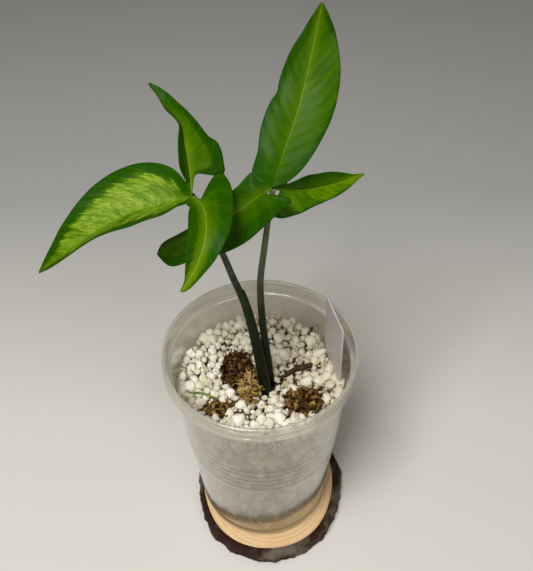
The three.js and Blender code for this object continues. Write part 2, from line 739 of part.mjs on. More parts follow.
function thickened(sheet, onRib) {
  const p = sheet.attributes.position;
  const n = sheet.attributes.normal;
  const face = Array.from(sheet.index.array);
  const positions = [];
  const offset = (i, distance) => {
    positions.push(p.getX(i) + distance * n.getX(i), p.getY(i) + distance * n.getY(i));
    positions.push(p.getZ(i) + distance * n.getZ(i));
  };
  for (let i = 0; i < p.count; i += 1) offset(i, LEAF_THICKNESS / 2);
  for (let i = 0; i < p.count; i += 1) {
    offset(i, LEAF_THICKNESS / 2 - (onRib[i] ? RIB_THICKNESS : LEAF_THICKNESS));
  }
  const triangles = [...face];
  const edges = new Set();
  for (let i = 0; i < face.length; i += 3) {
    const [a, b, c] = face.slice(i, i + 3);
    triangles.push(a + p.count, c + p.count, b + p.count);
    for (const [from, to] of [[a, b], [b, c], [c, a]]) edges.add(`${from},${to}`);
  }
  for (const edge of edges) {
    const [from, to] = edge.split(',').map(Number);
    if (!edges.has(`${to},${from}`)) {
      triangles.push(from, from + p.count, to + p.count, from, to + p.count, to);
    }
  }
  return indexed(positions, triangles);
}

// Assembly

const plastic = { roughness: 0.3, metalness: 0 };
const organic = { roughness: 0.8, metalness: 0 };
const leafFinish = { roughness: 0.45, metalness: 0 };

const plant = new THREE.Group();
plant.name = 'potted_syngonium_angustatum';

function add(name, geometry, color, finish) {
  const material = new THREE.MeshStandardMaterial({ color, ...finish });
  material.name = name;
  const mesh = new THREE.Mesh(geometry, material);
  mesh.name = name;
  plant.add(mesh);
}

add('wood_slice', woodSlice(), '#b08d62', organic);
add('cup', cup(), '#d9dcd8', { ...plastic, transparent: true, opacity: 0.35 });
add('perlite_bed', perliteBed(), '#e6e2d2', organic);
add('stem_and_roots', stemAndRoots(), '#c8bd97', organic);
for (const clump of MOSS_CLUMPS) add(clump.name, mossClump(clump), '#7a5a2c', organic);
add('twig', twig(), '#4a3526', organic);
add('plant_label', labelPlate(0), '#d8d2d4', plastic);
for (const stalk of STALKS) add(stalk.name, petiole(stalk), '#35402c', leafFinish);
add('leaf_right', leaf(RIGHT_LEAF), '#3f7014', leafFinish);
add('leaf_left', leaf(LEFT_LEAF), '#557f20', leafFinish);

export default plant;
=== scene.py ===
import math

import bpy
import numpy as np
from mathutils import Matrix, Vector, noise


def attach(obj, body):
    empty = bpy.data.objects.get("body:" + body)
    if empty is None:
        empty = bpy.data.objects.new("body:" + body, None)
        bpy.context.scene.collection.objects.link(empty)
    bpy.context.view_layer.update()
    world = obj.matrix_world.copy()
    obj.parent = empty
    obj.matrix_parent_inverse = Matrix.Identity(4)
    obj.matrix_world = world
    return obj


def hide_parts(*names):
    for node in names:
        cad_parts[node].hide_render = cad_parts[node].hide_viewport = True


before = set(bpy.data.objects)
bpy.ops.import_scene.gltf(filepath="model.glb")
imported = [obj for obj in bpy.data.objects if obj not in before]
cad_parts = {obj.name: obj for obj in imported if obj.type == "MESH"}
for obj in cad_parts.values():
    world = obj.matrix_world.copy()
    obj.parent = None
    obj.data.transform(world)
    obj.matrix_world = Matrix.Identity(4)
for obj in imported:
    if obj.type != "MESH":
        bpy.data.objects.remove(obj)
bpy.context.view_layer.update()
scene = bpy.context.scene

# Camera: a phone held about 37 cm above the table, looking 44 degrees down at the cup.
# Its focal length is 650 pixels on a picture whose long side is 571.
camera_data = bpy.data.cameras.new("camera")
camera_data.sensor_width = 36
camera_data.lens = 36 * 650 / 571
camera = bpy.data.objects.new("camera", camera_data)
scene.collection.objects.link(camera)
scene.camera = camera
camera.location = (0.0037, -0.2045, 0.3707)
looking_down = Matrix.Rotation(math.radians(90 - 43.99), 3, "X")
hand_tilt = Matrix.Rotation(math.radians(-1.16), 3, "Z")
camera.rotation_mode = "QUATERNION"
camera.rotation_quaternion = (looking_down @ hand_tilt).to_quaternion()

# Coaster: the sawn face of a branch slice, pale alder with faint growth rings. The branch
# grew a little oval. It is sawn across the grain and left unsealed.
SLICE_CENTRE = (0.0023, 0)
SLICE_THICKNESS = 0.009
WOOD_RADII = (0.0393, 0.0436)


def linear(sRGB):
    """A colour's hex value as the linear numbers that a shader takes."""
    channels = [int(sRGB[i : i + 2], 16) / 255 for i in (1, 3, 5)]
    return [c / 12.92 if c <= 0.04045 else ((c + 0.055) / 1.055) ** 2.4 for c in channels] + [1]


def node(tree, kind, sockets=None, stops=(), **settings):
    """Adds a node. A socket gets a value, or a link to an output or a node's first one in use."""
    new = tree.nodes.new(kind)
    for name, value in settings.items():
        setattr(new, name, value)
    for name, value in (sockets or {}).items():
        if isinstance(value, bpy.types.Node):
            value = next(output for output in value.outputs if output.enabled)
        if isinstance(value, bpy.types.NodeSocket):
            tree.links.new(value, new.inputs[name])
        else:
            new.inputs[name].default_value = value
    for i, (place, colour) in enumerate(stops):
        ramp = new.color_ramp.elements
        stop = ramp[i] if i < 2 else ramp.new(place)
        stop.position = place
        stop.color = linear(colour)
    return new


def new_material(name):
    made = bpy.data.materials.new(name)
    made.use_nodes = True
    made.node_tree.nodes.clear()
    return made, made.node_tree


def ring_faces(rows, columns):
    """Quads between rows of points, where each row closes on itself."""
    faces = []
    for r in range(rows - 1):
        for c in range(columns):
            d = (c + 1) % columns
            faces.append((r * columns + c, r * columns + d, (r + 1) * columns + d, (r + 1) * columns + c))
    return faces


def turned(rings, segments, centre=(0, 0)):
    """A closed body round an upright axis. A ring is (radius, height) or gives them at an angle."""

    def ring_at(ring, s):
        angle = 2 * math.pi * s / segments
        radius, height = ring(angle) if callable(ring) else ring
        return (centre[0] + radius * math.cos(angle), centre[1] + radius * math.sin(angle), height)

    bottom, *middle, top = rings
    points = [ring_at(bottom, 0)]
    points += [ring_at(ring, s) for ring in middle for s in range(segments)]
    points.append(ring_at(top, 0))
    faces = [tuple(i + 1 for i in f) for f in ring_faces(len(middle), segments)]
    last = len(points) - 1
    for s in range(segments):
        t = (s + 1) % segments
        faces.append((0, 1 + t, 1 + s))
        faces.append((last, last - segments + s, last - segments + t))
    return points, faces


def add_piece(name, points, faces, material):
    mesh = bpy.data.meshes.new(name)
    mesh.from_pydata([tuple(p) for p in points], [], [tuple(f) for f in faces])
    mesh.materials.append(material)
    mesh.polygons.foreach_set("use_smooth", [True] * len(mesh.polygons))
    made = bpy.data.objects.new(name, mesh)
    scene.collection.objects.link(made)
    return made


def wood_edge(angle):
    rx, ry = WOOD_RADII
    oval = rx * ry / math.hypot(ry * math.cos(angle), rx * math.sin(angle))
    return oval + 0.0004 * math.sin(5 * angle)


# Sawn alder, across the grain: end grain is dull, and its rings show as darker lines.
sawn_alder, tree = new_material("sawn_alder")
place = node(tree, "ShaderNodeTexCoord").outputs["Object"]
pith = node(
    tree, "ShaderNodeMapping", {"Vector": place, "Location": (-0.0043, 0.0035, 0), "Scale": (1.1, 1, 1)}
)
# A ring pattern repeats every 2 pi / (20 x scale) metres, so 120 draws rings 2.6 mm apart.
rings = node(
    tree,
    "ShaderNodeTexWave",
    {"Vector": pith, "Scale": 120, "Distortion": 1.6, "Detail": 3, "Detail Scale": 0.6},
    wave_type="RINGS",
    rings_direction="Z",
)
tone = node(tree, "ShaderNodeTexNoise", {"Vector": place, "Scale": 1000 / 14, "Detail": 3})
pores = node(tree, "ShaderNodeTexNoise", {"Vector": place, "Scale": 1000 / 0.7, "Detail": 2})
ring_colour = node(
    tree,
    "ShaderNodeValToRGB",
    {"Fac": rings.outputs["Fac"]},
    stops=[(0.0, "#d3b286"), (0.3, "#e5c799"), (0.75, "#ecd1a4"), (1.0, "#ddbe90")],
)
stained = node(
    tree,
    "ShaderNodeMix",
    {0: tone, 6: ring_colour, 7: linear("#e6d3be")},
    data_type="RGBA",
    blend_type="MULTIPLY",
)
saw_marks = node(
    tree,
    "ShaderNodeTexWave",
    {"Vector": place, "Scale": 262, "Distortion": 2, "Detail": 2},
    bands_direction="DIAGONAL",
)
roughened = node(tree, "ShaderNodeMath", {0: saw_marks.outputs["Fac"], 1: pores}, operation="ADD")
grain_bump = node(tree, "ShaderNodeBump", {"Height": roughened, "Strength": 0.25, "Distance": 0.0003})
surface = node(
    tree, "ShaderNodeBsdfPrincipled", {"Base Color": stained, "Roughness": 0.7, "Normal": grain_bump}
)
node(tree, "ShaderNodeOutputMaterial", {"Surface": surface})


def wood_ring(share, inset, height):
    return lambda angle: (wood_edge(angle) * share - inset, height)


points, faces = turned(
    [
        (0, 0),
        wood_ring(0.98, 0, 0),
        wood_ring(1, 0, 0.0005),
        wood_ring(1, 0, SLICE_THICKNESS - 0.0006),
        wood_ring(1, 0.0003, SLICE_THICKNESS - 0.0001),
        wood_ring(1, 0.0008, SLICE_THICKNESS),
        wood_ring(0.6, 0, SLICE_THICKNESS),
        wood_ring(0.2, 0, SLICE_THICKNESS),
        (0, SLICE_THICKNESS),
    ],
    240,
    SLICE_CENTRE,
)
sawn_wood = add_piece("sawn_wood", points, faces, sawn_alder)
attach(sawn_wood, "root")
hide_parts("wood_slice")

# Bark: the rough skin left round the slice, thicker on the right. It is red-brown where it
# was cut, and grey and flaky outside, with furrows that run along the branch.
BARK_SEGMENTS = 420
BARK_THICKNESS = 0.0043
FURROW_DEPTH = 0.0012
CHIP_DEPTH = 0.00025
BARK_SECTION = [  # share of the thickness, height
    (-0.08, 0.0006),
    (0.4, 0.0001),
    (0.8, 0.0003),
    (0.98, 0.001),
    (1.02, 0.002),
    (1.0, 0.003),
    (0.96, 0.004),
    (1.0, 0.005),
    (1.02, 0.006),
    (0.98, 0.007),
    (0.9, 0.0078),
    (0.72, 0.0084),
    (0.5, 0.0086),
    (0.28, 0.0088),
    (0.06, 0.0088),
    (-0.06, 0.0082),
]

bark, tree = new_material("alder_bark")
place = node(tree, "ShaderNodeTexCoord").outputs["Object"]
depth = node(tree, "ShaderNodeAttribute", attribute_name="bark_depth")
flakes = node(
    tree, "ShaderNodeTexNoise", {"Vector": place, "Scale": 1000 / 3, "Detail": 6, "Roughness": 0.7}
)
reached = node(
    tree, "ShaderNodeMath", {0: flakes, 1: 0.9, 2: depth.outputs["Fac"]}, operation="MULTIPLY_ADD"
)
bark_colour = node(
    tree,
    "ShaderNodeValToRGB",
    {"Fac": node(tree, "ShaderNodeMath", {0: reached, 1: 0.6}, operation="MULTIPLY")},
    stops=[(0.2, "#140a05"), (0.42, "#32190f"), (0.6, "#2f1f16"), (0.78, "#4a3a2f"), (0.95, "#6a5d50")],
)
lichen_spread = node(tree, "ShaderNodeTexNoise", {"Vector": place, "Scale": 1000 / 16, "Detail": 4})
lichen_here = node(
    tree,
    "ShaderNodeMapRange",
    {"Value": lichen_spread, "From Min": 0.52, "From Max": 0.68, "To Max": 0.5},
)
lichen = node(
    tree, "ShaderNodeMix", {0: lichen_here, 6: bark_colour, 7: linear("#857c6c")}, data_type="RGBA"
)
cracks = node(
    tree, "ShaderNodeTexVoronoi", {"Vector": place, "Scale": 1000 / 2.4}, feature="DISTANCE_TO_EDGE"
)
crack_depth = node(tree, "ShaderNodeMath", {0: cracks, 1: flakes}, operation="ADD")
bark_bump = node(tree, "ShaderNodeBump", {"Height": crack_depth, "Strength": 0.9, "Distance": 0.0008})
surface = node(
    tree,
    "ShaderNodeBsdfPrincipled",
    {"Base Color": lichen, "Roughness": 0.85, "Specular IOR Level": 0.15, "Normal": bark_bump},
)
node(tree, "ShaderNodeOutputMaterial", {"Surface": surface})

points = []
depths = []
for share, height in BARK_SECTION:
    for s in range(BARK_SEGMENTS):
        angle = 2 * math.pi * s / BARK_SEGMENTS
        thickness = BARK_THICKNESS + 0.0008 * math.cos(angle) + 0.0004 * math.sin(3 * angle + 1)
        round_branch = Vector((math.cos(angle) * 6, math.sin(angle) * 6, height / 0.012))
        furrow = noise.fractal(round_branch, 0.7, 2.1, 5)
        chip = noise.fractal(round_branch * 6.1 + Vector((7, 3, height / 0.003)), 0.8, 2.0, 3)
        out = thickness * share + max(share, 0) * (FURROW_DEPTH * furrow + CHIP_DEPTH * chip)
        radius = wood_edge(angle) + out
        rise = 0.0005 * chip * max(share, 0) if height > 0.0075 else 0
        x = SLICE_CENTRE[0] + radius * math.cos(angle)
        y = SLICE_CENTRE[1] + radius * math.sin(angle)
        points.append((x, y, min(height + rise, SLICE_THICKNESS)))
        depths.append(max(share, 0) * 0.62 + 0.22 * furrow)
wrapped = ring_faces(len(BARK_SECTION) + 1, BARK_SEGMENTS)
faces = [tuple(i % len(points) for i in f) for f in wrapped]
bark_rim = add_piece("bark_rim", points, faces, bark)
layer = bark_rim.data.attributes.new("bark_depth", "FLOAT", "POINT")
layer.data.foreach_set("value", depths)
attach(bark_rim, "root")

# Cup: a clear drink cup of thermoformed polypropylene, slightly cloudy, with a hollow foot
# ring, a few stacking ribs in its wall and a stepped rim for a lid. It stands on the slice.
CUP_FOOT = 0.0093
CUP_RIM = 0.1323
RIM_RADIUS = 0.0475
FOOT_RADIUS = 0.036
SHOULDER_RADIUS = 0.0444
RIM_DEPTH = 0.0085
WALL = 0.0009
RECESS = 0.0048
CUP_FLOOR = CUP_FOOT + RECESS + WALL
RIBS = [0.0690, 0.0735, 0.0780, 0.0825, 0.0870]
WALL_SLOPE = (SHOULDER_RADIUS - FOOT_RADIUS) / (CUP_RIM - CUP_FOOT - RIM_DEPTH)


def cup_radius(z):
    return FOOT_RADIUS + WALL_SLOPE * (z - CUP_FOOT)


def rib_points(inset, heights):
    bumps = []
    for z in heights:
        for dz, out in ((-0.0012, 0), (-0.0004, 0.00018), (0.0004, 0.00018), (0.0012, 0)):
            bumps.append((cup_radius(z + dz) - inset + out, z + dz))
    return bumps


def rounded(profile, rounds):
    """Cuts the corners of a profile, more finely each round."""
    for _ in range(rounds):
        cut = [profile[0]]
        for (a, b), (c, d) in zip(profile, profile[1:]):
            cut.append((0.75 * a + 0.25 * c, 0.75 * b + 0.25 * d))
            cut.append((0.25 * a + 0.75 * c, 0.25 * b + 0.75 * d))
        profile = cut + [profile[-1]]
    return profile


outside = [
    (0, CUP_FOOT + RECESS),
    (0.0300, CUP_FOOT + RECESS),
    (0.0306, CUP_FOOT + 0.0045),
    (0.0311, CUP_FOOT + 0.0006),
    (0.0317, CUP_FOOT),
    (0.0346, CUP_FOOT),
    (0.0357, CUP_FOOT + 0.0008),
    (cup_radius(CUP_FOOT + 0.0020), CUP_FOOT + 0.0020),
    (cup_radius(CUP_FOOT + 0.0050), CUP_FOOT + 0.0050),
    (cup_radius(CUP_FOOT + 0.0056) + 0.0003, CUP_FOOT + 0.0056),
    (cup_radius(CUP_FOOT + 0.0062), CUP_FOOT + 0.0062),
    *rib_points(0, RIBS),
    (cup_radius(CUP_RIM - RIM_DEPTH - 0.001), CUP_RIM - RIM_DEPTH - 0.001),
    (cup_radius(CUP_RIM - RIM_DEPTH) + 0.0003, CUP_RIM - RIM_DEPTH),
    (RIM_RADIUS - 0.0004, CUP_RIM - RIM_DEPTH),
    (RIM_RADIUS + 0.0003, CUP_RIM - RIM_DEPTH + 0.0003),
    (RIM_RADIUS + 0.0003, CUP_RIM - RIM_DEPTH + 0.0010),
    (RIM_RADIUS - 0.0010, CUP_RIM - RIM_DEPTH + 0.0018),
    (RIM_RADIUS - 0.0010, CUP_RIM - 0.0052),
    (RIM_RADIUS, CUP_RIM - 0.0045),
    (RIM_RADIUS, CUP_RIM - 0.0037),
    (RIM_RADIUS - 0.0012, CUP_RIM - 0.0029),
    (RIM_RADIUS - 0.0012, CUP_RIM - 0.0021),
    (RIM_RADIUS, CUP_RIM - 0.0013),
    (RIM_RADIUS, CUP_RIM - 0.0006),
    (RIM_RADIUS - 0.0005, CUP_RIM),
    (RIM_RADIUS - 0.0014, CUP_RIM),
]
inside = [
    (RIM_RADIUS - 0.0020, CUP_RIM - 0.0006),
    (RIM_RADIUS - 0.0020, CUP_RIM - RIM_DEPTH + 0.0014),
    (RIM_RADIUS - 0.0025, CUP_RIM - RIM_DEPTH + 0.0008),
    (cup_radius(CUP_RIM - RIM_DEPTH) - WALL, CUP_RIM - RIM_DEPTH),
    *rib_points(WALL, RIBS)[::-1],
    (cup_radius(CUP_FOOT + 0.0024) - WALL, CUP_FOOT + 0.0024),
    (0.0344, CUP_FOOT + WALL),
    (0.0322, CUP_FOOT + WALL),
    (0.0314, CUP_FLOOR - 0.0004),
    (0.0308, CUP_FLOOR),
    (0, CUP_FLOOR),
]

# Polypropylene, thermoformed: clear but milky, so that it greys what is behind it, and
# glossy, with a mirror that grows towards the edge of each curve.
clear_polypropylene, tree = new_material("clear_polypropylene")
place = node(tree, "ShaderNodeTexCoord").outputs["Object"]
haze = node(
    tree, "ShaderNodeTexNoise", {"Vector": place, "Scale": 1000 / 18, "Detail": 4, "Roughness": 0.6}
)
haze_share = node(
    tree,
    "ShaderNodeMapRange",
    {"Value": haze, "From Min": 0.3, "From Max": 0.7, "To Min": 0.07, "To Max": 0.16},
)
edge_on = node(tree, "ShaderNodeLayerWeight", {"Blend": 0.5})
milk_share = node(
    tree,
    "ShaderNodeMath",
    {0: edge_on.outputs["Facing"], 1: 0.2, 2: haze_share},
    operation="MULTIPLY_ADD",
)
height = node(tree, "ShaderNodeSeparateXYZ", {0: place})
# The rolled rim is the thickest plastic, so it is the milkiest and palest; the wall's milk is painted
# dark olive, as painted shade.
in_rim = node(
    tree,
    "ShaderNodeMapRange",
    {"Value": height.outputs["Z"], "From Min": CUP_RIM - 0.0095, "From Max": CUP_RIM - 0.0083},
)
rim_milk = node(tree, "ShaderNodeMath", {0: in_rim, 1: 0.17, 2: milk_share}, operation="MULTIPLY_ADD")
milk_colour = node(
    tree, "ShaderNodeMix", {0: in_rim, 6: linear("#6b6855"), 7: linear("#cbc8bb")}, data_type="RGBA"
)
ripple = node(tree, "ShaderNodeBump", {"Height": haze, "Strength": 0.12, "Distance": 0.002})
milk = node(
    tree,
    "ShaderNodeBsdfPrincipled",
    {"Base Color": milk_colour, "Roughness": 0.45, "IOR": 1.49, "Normal": ripple},
)
clear = node(tree, "ShaderNodeBsdfTransparent", {"Color": linear("#f7f5ed")})
wall_look = node(tree, "ShaderNodeMixShader", {0: rim_milk, 1: clear, 2: milk})
gloss = node(tree, "ShaderNodeBsdfGlossy", {"Color": linear("#ffffff"), "Roughness": 0.14})
steeper = node(tree, "ShaderNodeMath", {0: edge_on.outputs["Facing"], 1: 3}, operation="POWER")
mirror_share = node(tree, "ShaderNodeMath", {0: steeper, 1: 0.85, 2: 0.07}, operation="MULTIPLY_ADD")
surface = node(tree, "ShaderNodeMixShader", {0: mirror_share, 1: wall_look, 2: gloss})
node(tree, "ShaderNodeOutputMaterial", {"Surface": surface})

points, faces = turned(rounded(outside + inside, 2), 240)
clear_cup = add_piece("clear_cup", points, faces, clear_polypropylene)
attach(clear_cup, "root")
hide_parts("cup")

# Perlite: expanded volcanic glass, crumbly white grains from dust to 9 mm, poured into the
# cup. A dark core stands for the shade between them, and the grains are loose on it.
BED_LEVEL = 0.1074
BED_SEED = 5
BED_REACH = 0.0405
CORE_GAP = 0.0042
SIDE_GAP = 0.0027
STEM_SPOT = (0.0035, -0.0045)
STEM_HOLE = 0.0045
MOSS_PLOTS = [  # centre x and y, half width, half depth
    (-0.009, 0.001, 0.009, 0.0155),
    (0.0205, -0.015, 0.0095, 0.008),
    (-0.0212, -0.019, 0.008, 0.005),
]
LABEL_LINE = ((0.0398, 0.0016), (0.0314, 0.0262))
LABEL_GAP = 0.0011
LARGE_GRAINS = [  # x, y, radius in millimetres, the largest in front of the stalks
    (-17.2, -11.4, 3.3), (-2.7, -17.7, 3.5), (4.4, -14.9, 3.2), (11.0, -14.2, 2.4),
    (4.2, -21.3, 3.9), (-8.5, -21.6, 3.0), (-12.8, -14.6, 2.6), (-2.4, -25.6, 3.3),
    (7.5, -27.4, 3.9), (-10.5, -28.5, 3.2), (1.5, -33.0, 3.4), (12.5, -33.0, 3.2),
    (-36.0, -8.2, 3.6), (-21.6, -26.0, 2.9), (17.2, -23.6, 2.5), (-32.8, 1.4, 3.5),
    (-28.2, 9.8, 3.4), (-35.5, 9.0, 3.0), (31.1, -10.8, 3.3), (26.5, -1.2, 3.0),
    (35.0, -2.2, 2.8), (29.8, 12.2, 3.0), (-21.5, -3.9, 2.4), (8.4, 8.8, 2.4),
    (13.8, 15.4, 2.6), (28.0, -20.5, 3.0), (-27.5, -5.5, 3.0),
]


def bed_wall(z):
    return cup_radius(z) - WALL - 0.0003


# Expanded perlite: matte and pitted, cream to white, with a few grains of dark rock in it.
perlite, tree = new_material("expanded_perlite")
place = node(tree, "ShaderNodeTexCoord").outputs["Object"]
tone = node(tree, "ShaderNodeAttribute", attribute_name="grain_tone")
grain_colour = node(
    tree,
    "ShaderNodeValToRGB",
    {"Fac": tone.outputs["Fac"]},
    stops=[(0.0, "#837962"), (0.25, "#c6bb9b"), (0.45, "#dcd4bc"), (0.75, "#e9e2cd"), (1.0, "#f4efe0")],
)
damp = node(tree, "ShaderNodeTexNoise", {"Vector": place, "Scale": 1000 / 9, "Detail": 2})
damp_here = node(
    tree, "ShaderNodeMapRange", {"Value": damp, "From Min": 0.5, "From Max": 0.72, "To Max": 0.55}
)
dampened = node(
    tree, "ShaderNodeMix", {0: damp_here, 6: grain_colour, 7: linear("#bfb288")}, data_type="RGBA"
)
# The right and the back of the bed are painted darker than its front, as painted shade.
to_back_right = node(
    tree, "ShaderNodeVectorMath", {0: place, 1: (0.75, 0.65, 0)}, operation="DOT_PRODUCT"
)
shaded_side = node(
    tree,
    "ShaderNodeMapRange",
    {"Value": to_back_right, "From Min": -0.012, "From Max": 0.03, "To Max": 0.65},
)
back_right_shade = node(
    tree,
    "ShaderNodeMix",
    {0: shaded_side, 6: dampened, 7: linear("#d0c8b6")},
    data_type="RGBA",
    blend_type="MULTIPLY",
)
specks = node(tree, "ShaderNodeTexNoise", {"Vector": place, "Scale": 1000 / 1.5, "Detail": 1})
speck_here = node(tree, "ShaderNodeMapRange", {"Value": specks, "From Min": 0.73, "From Max": 0.77})
speckled = node(
    tree, "ShaderNodeMix", {0: speck_here, 6: back_right_shade, 7: linear("#3a2c1c")}, data_type="RGBA"
)
pits = node(tree, "ShaderNodeTexVoronoi", {"Vector": place, "Scale": 1000 / 0.9})
pit_bump = node(tree, "ShaderNodeBump", {"Height": pits, "Strength": 0.7, "Distance": 0.0006})
surface = node(
    tree, "ShaderNodeBsdfPrincipled", {"Base Color": speckled, "Roughness": 0.9, "Normal": pit_bump}
)
node(tree, "ShaderNodeOutputMaterial", {"Surface": surface})

# Painted shade between the grains: the core's skin is dark brown and dull, with no shine.
gap_shade, tree = new_material("gap_shade")
place = node(tree, "ShaderNodeTexCoord").outputs["Object"]
shade_mottle = node(tree, "ShaderNodeTexNoise", {"Vector": place, "Scale": 1000 / 2, "Detail": 4})
gap_shade_colour = node(
    tree,
    "ShaderNodeValToRGB",
    {"Fac": shade_mottle},
    stops=[(0.35, "#2c2318"), (0.5, "#4c4232"), (0.65, "#6e634f")],
)
surface = node(tree, "ShaderNodeBsdfPrincipled", {"Base Color": gap_shade_colour, "Roughness": 0.95})
node(tree, "ShaderNodeOutputMaterial", {"Surface": surface})

core_rings = [(0, CUP_FLOOR + 0.0030), (0.026, CUP_FLOOR + 0.0034)]
for step in range(9):
    z = CUP_FLOOR + 0.006 + (BED_LEVEL - 0.002 - CUP_FLOOR - 0.006) * step / 8
    core_rings.append((bed_wall(z) - CORE_GAP, z))
core_rings += [(0.030, BED_LEVEL - 0.0022), (0.012, BED_LEVEL - 0.0024), (0, BED_LEVEL - 0.0034)]
points, faces = turned(core_rings, 96)
perlite_core = add_piece("perlite_core", points, faces, gap_shade)
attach(perlite_core, "root")
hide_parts("perlite_bed")


def growing_tree(name, ground, sizes, counts, material, product):
    """A node tree that grows something on a ground, and what its named inputs give."""
    tree = bpy.data.node_groups.new(name, "GeometryNodeTree")
    kinds = {"Geometry": [ground], "Float": sizes, "Int": counts, "Material": [material]}
    for kind, labels in kinds.items():
        for label in labels:
            tree.interface.new_socket(label, in_out="INPUT", socket_type="NodeSocket" + kind)
    tree.interface.new_socket(product, in_out="OUTPUT", socket_type="NodeSocketGeometry")
    return tree, node(tree, "NodeGroupInput").outputs


# Each grain starts as a ball of 80 faces, or 1280 for the largest, on a point of the ground.
# A noise that is as coarse as the grain makes it lumpy, and the cup's wall flattens the
# grains that touch it.
grain_sizes = ["Spacing", "Smallest", "Largest", "Lumpiness", "Lowest", "Wall Foot", "Wall Slope"]
grain_sizes += ["Darkest", "Palest"]
tree, given = growing_tree(
    "loose_grains", "Ground", grain_sizes, ["Detail", "Seed"], "Grain Material", "Grains"
)
spots = node(
    tree,
    "GeometryNodeDistributePointsOnFaces",
    {
        "Mesh": given["Ground"],
        "Distance Min": given["Spacing"],
        "Density Max": 4e6,
        "Seed": given["Seed"],
    },
    distribute_method="POISSON",
)
chance = node(tree, "FunctionNodeRandomValue", {"Seed": given["Seed"]})
mostly_small = node(tree, "ShaderNodeMath", {0: chance, 1: 1.8}, operation="POWER")
grain_size = node(
    tree,
    "ShaderNodeMapRange",
    {"Value": mostly_small, "To Min": given["Smallest"], "To Max": given["Largest"]},
)
sized = node(
    tree,
    "GeometryNodeStoreNamedAttribute",
    {"Geometry": spots, "Name": "grain_size", "Value": grain_size},
)
shade = node(
    tree, "FunctionNodeRandomValue", {2: given["Darkest"], 3: given["Palest"], "Seed": given["Seed"]}
)
toned = node(
    tree,
    "GeometryNodeStoreNamedAttribute",
    {"Geometry": sized, "Name": "grain_tone", "Value": shade},
)
size_again = node(tree, "GeometryNodeInputNamedAttribute", {"Name": "grain_size"})
ball = node(tree, "GeometryNodeMeshIcoSphere", {"Subdivisions": given["Detail"]})
any_turn = node(
    tree,
    "FunctionNodeRandomValue",
    {0: (0, 0, 0), 1: (6.28, 6.28, 6.28), "Seed": 3},
    data_type="FLOAT_VECTOR",
)
any_stretch = node(
    tree,
    "FunctionNodeRandomValue",
    {0: (0.8, 0.75, 0.7), 1: (1.2, 1.05, 1.0), "Seed": 4},
    data_type="FLOAT_VECTOR",
)
stretch = node(tree, "ShaderNodeVectorMath", {0: any_stretch, "Scale": size_again}, operation="SCALE")
dropped = node(
    tree,
    "GeometryNodeInstanceOnPoints",
    {"Points": toned, "Instance": ball, "Rotation": any_turn, "Scale": stretch},
)
balls = node(tree, "GeometryNodeRealizeInstances", {"Geometry": dropped})
here = node(tree, "GeometryNodeInputPosition")
per_size = node(tree, "ShaderNodeMath", {0: 1.0, 1: size_again}, operation="DIVIDE")
in_grains = node(tree, "ShaderNodeVectorMath", {0: here, "Scale": per_size}, operation="SCALE")
lumps = node(tree, "ShaderNodeTexNoise", {"Vector": in_grains, "Scale": 1, "Detail": 2.5})
centred = node(
    tree, "ShaderNodeVectorMath", {0: lumps.outputs["Color"], 1: (0.5, 0.5, 0.5)}, operation="SUBTRACT"
)
lump_height = node(tree, "ShaderNodeMath", {0: size_again, 1: given["Lumpiness"]}, operation="MULTIPLY")
lump_move = node(tree, "ShaderNodeVectorMath", {0: centred, "Scale": lump_height}, operation="SCALE")
lumpy = node(tree, "GeometryNodeSetPosition", {"Geometry": balls, "Offset": lump_move})
parts = node(tree, "ShaderNodeSeparateXYZ", {0: here})
flat_place = node(tree, "ShaderNodeCombineXYZ", {0: parts.outputs[0], 1: parts.outputs[1]})
from_axis = node(tree, "ShaderNodeVectorMath", {0: flat_place}, operation="LENGTH")
wall_here = node(
    tree,
    "ShaderNodeMath",
    {0: parts.outputs[2], 1: given["Wall Slope"], 2: given["Wall Foot"]},
    operation="MULTIPLY_ADD",
)
to_wall = node(tree, "ShaderNodeMath", {0: wall_here, 1: from_axis}, operation="DIVIDE")
pressed = node(tree, "ShaderNodeMath", {0: to_wall, 1: 1}, operation="MINIMUM")
inward = node(tree, "ShaderNodeVectorMath", {0: flat_place, "Scale": pressed}, operation="SCALE")
lifted = node(tree, "ShaderNodeMath", {0: parts.outputs[2], 1: given["Lowest"]}, operation="MAXIMUM")
upright = node(tree, "ShaderNodeCombineXYZ", {2: lifted})
kept_in = node(tree, "ShaderNodeVectorMath", {0: inward, 1: upright}, operation="ADD")
contained = node(tree, "GeometryNodeSetPosition", {"Geometry": lumpy, "Position": kept_in})
soft = node(tree, "GeometryNodeSetShadeSmooth", {"Geometry": contained})
real = node(tree, "GeometryNodeRealizeInstances", {"Geometry": soft})
painted = node(tree, "GeometryNodeSetMaterial", {"Geometry": real, "Material": given["Grain Material"]})
node(tree, "NodeGroupOutput", {"Grains": painted})
grain_tree = tree


def grown(name, ground, tree, values):
    """Runs a tree on the ground and returns what grew there as a plain mesh piece."""
    maker = ground.modifiers.new(name, "NODES")
    maker.node_group = tree
    for socket, value in values.items():
        maker[tree.interface.items_tree[socket].identifier] = value
    whole = ground.evaluated_get(bpy.context.evaluated_depsgraph_get())
    mesh = bpy.data.meshes.new_from_object(whole)
    mesh.name = name
    made = bpy.data.objects.new(name, mesh)
    scene.collection.objects.link(made)
    ground.modifiers.remove(maker)
    bpy.data.objects.remove(ground)
    return made


def bed_height(x, y):
    """The level of the heap: higher at the left and the back right, with small waves."""
    swell = 0.0016 * noise.noise(Vector((x / 0.016, y / 0.016, 2.5)))
    ripple = 0.0007 * noise.noise(Vector((x / 0.006, y / 0.006, 8.5)))
    left = 0.0020 * max(0, -x - 0.020) / 0.020
    back = 0.0035 * max(0, y - 0.018) / 0.022
    return BED_LEVEL + 0.0004 + swell + ripple + left + back


def in_plot(x, y, plot, share):
    px, py, half_width, half_depth = plot
    return math.hypot((x - px) / half_width, (y - py) / half_depth) < share


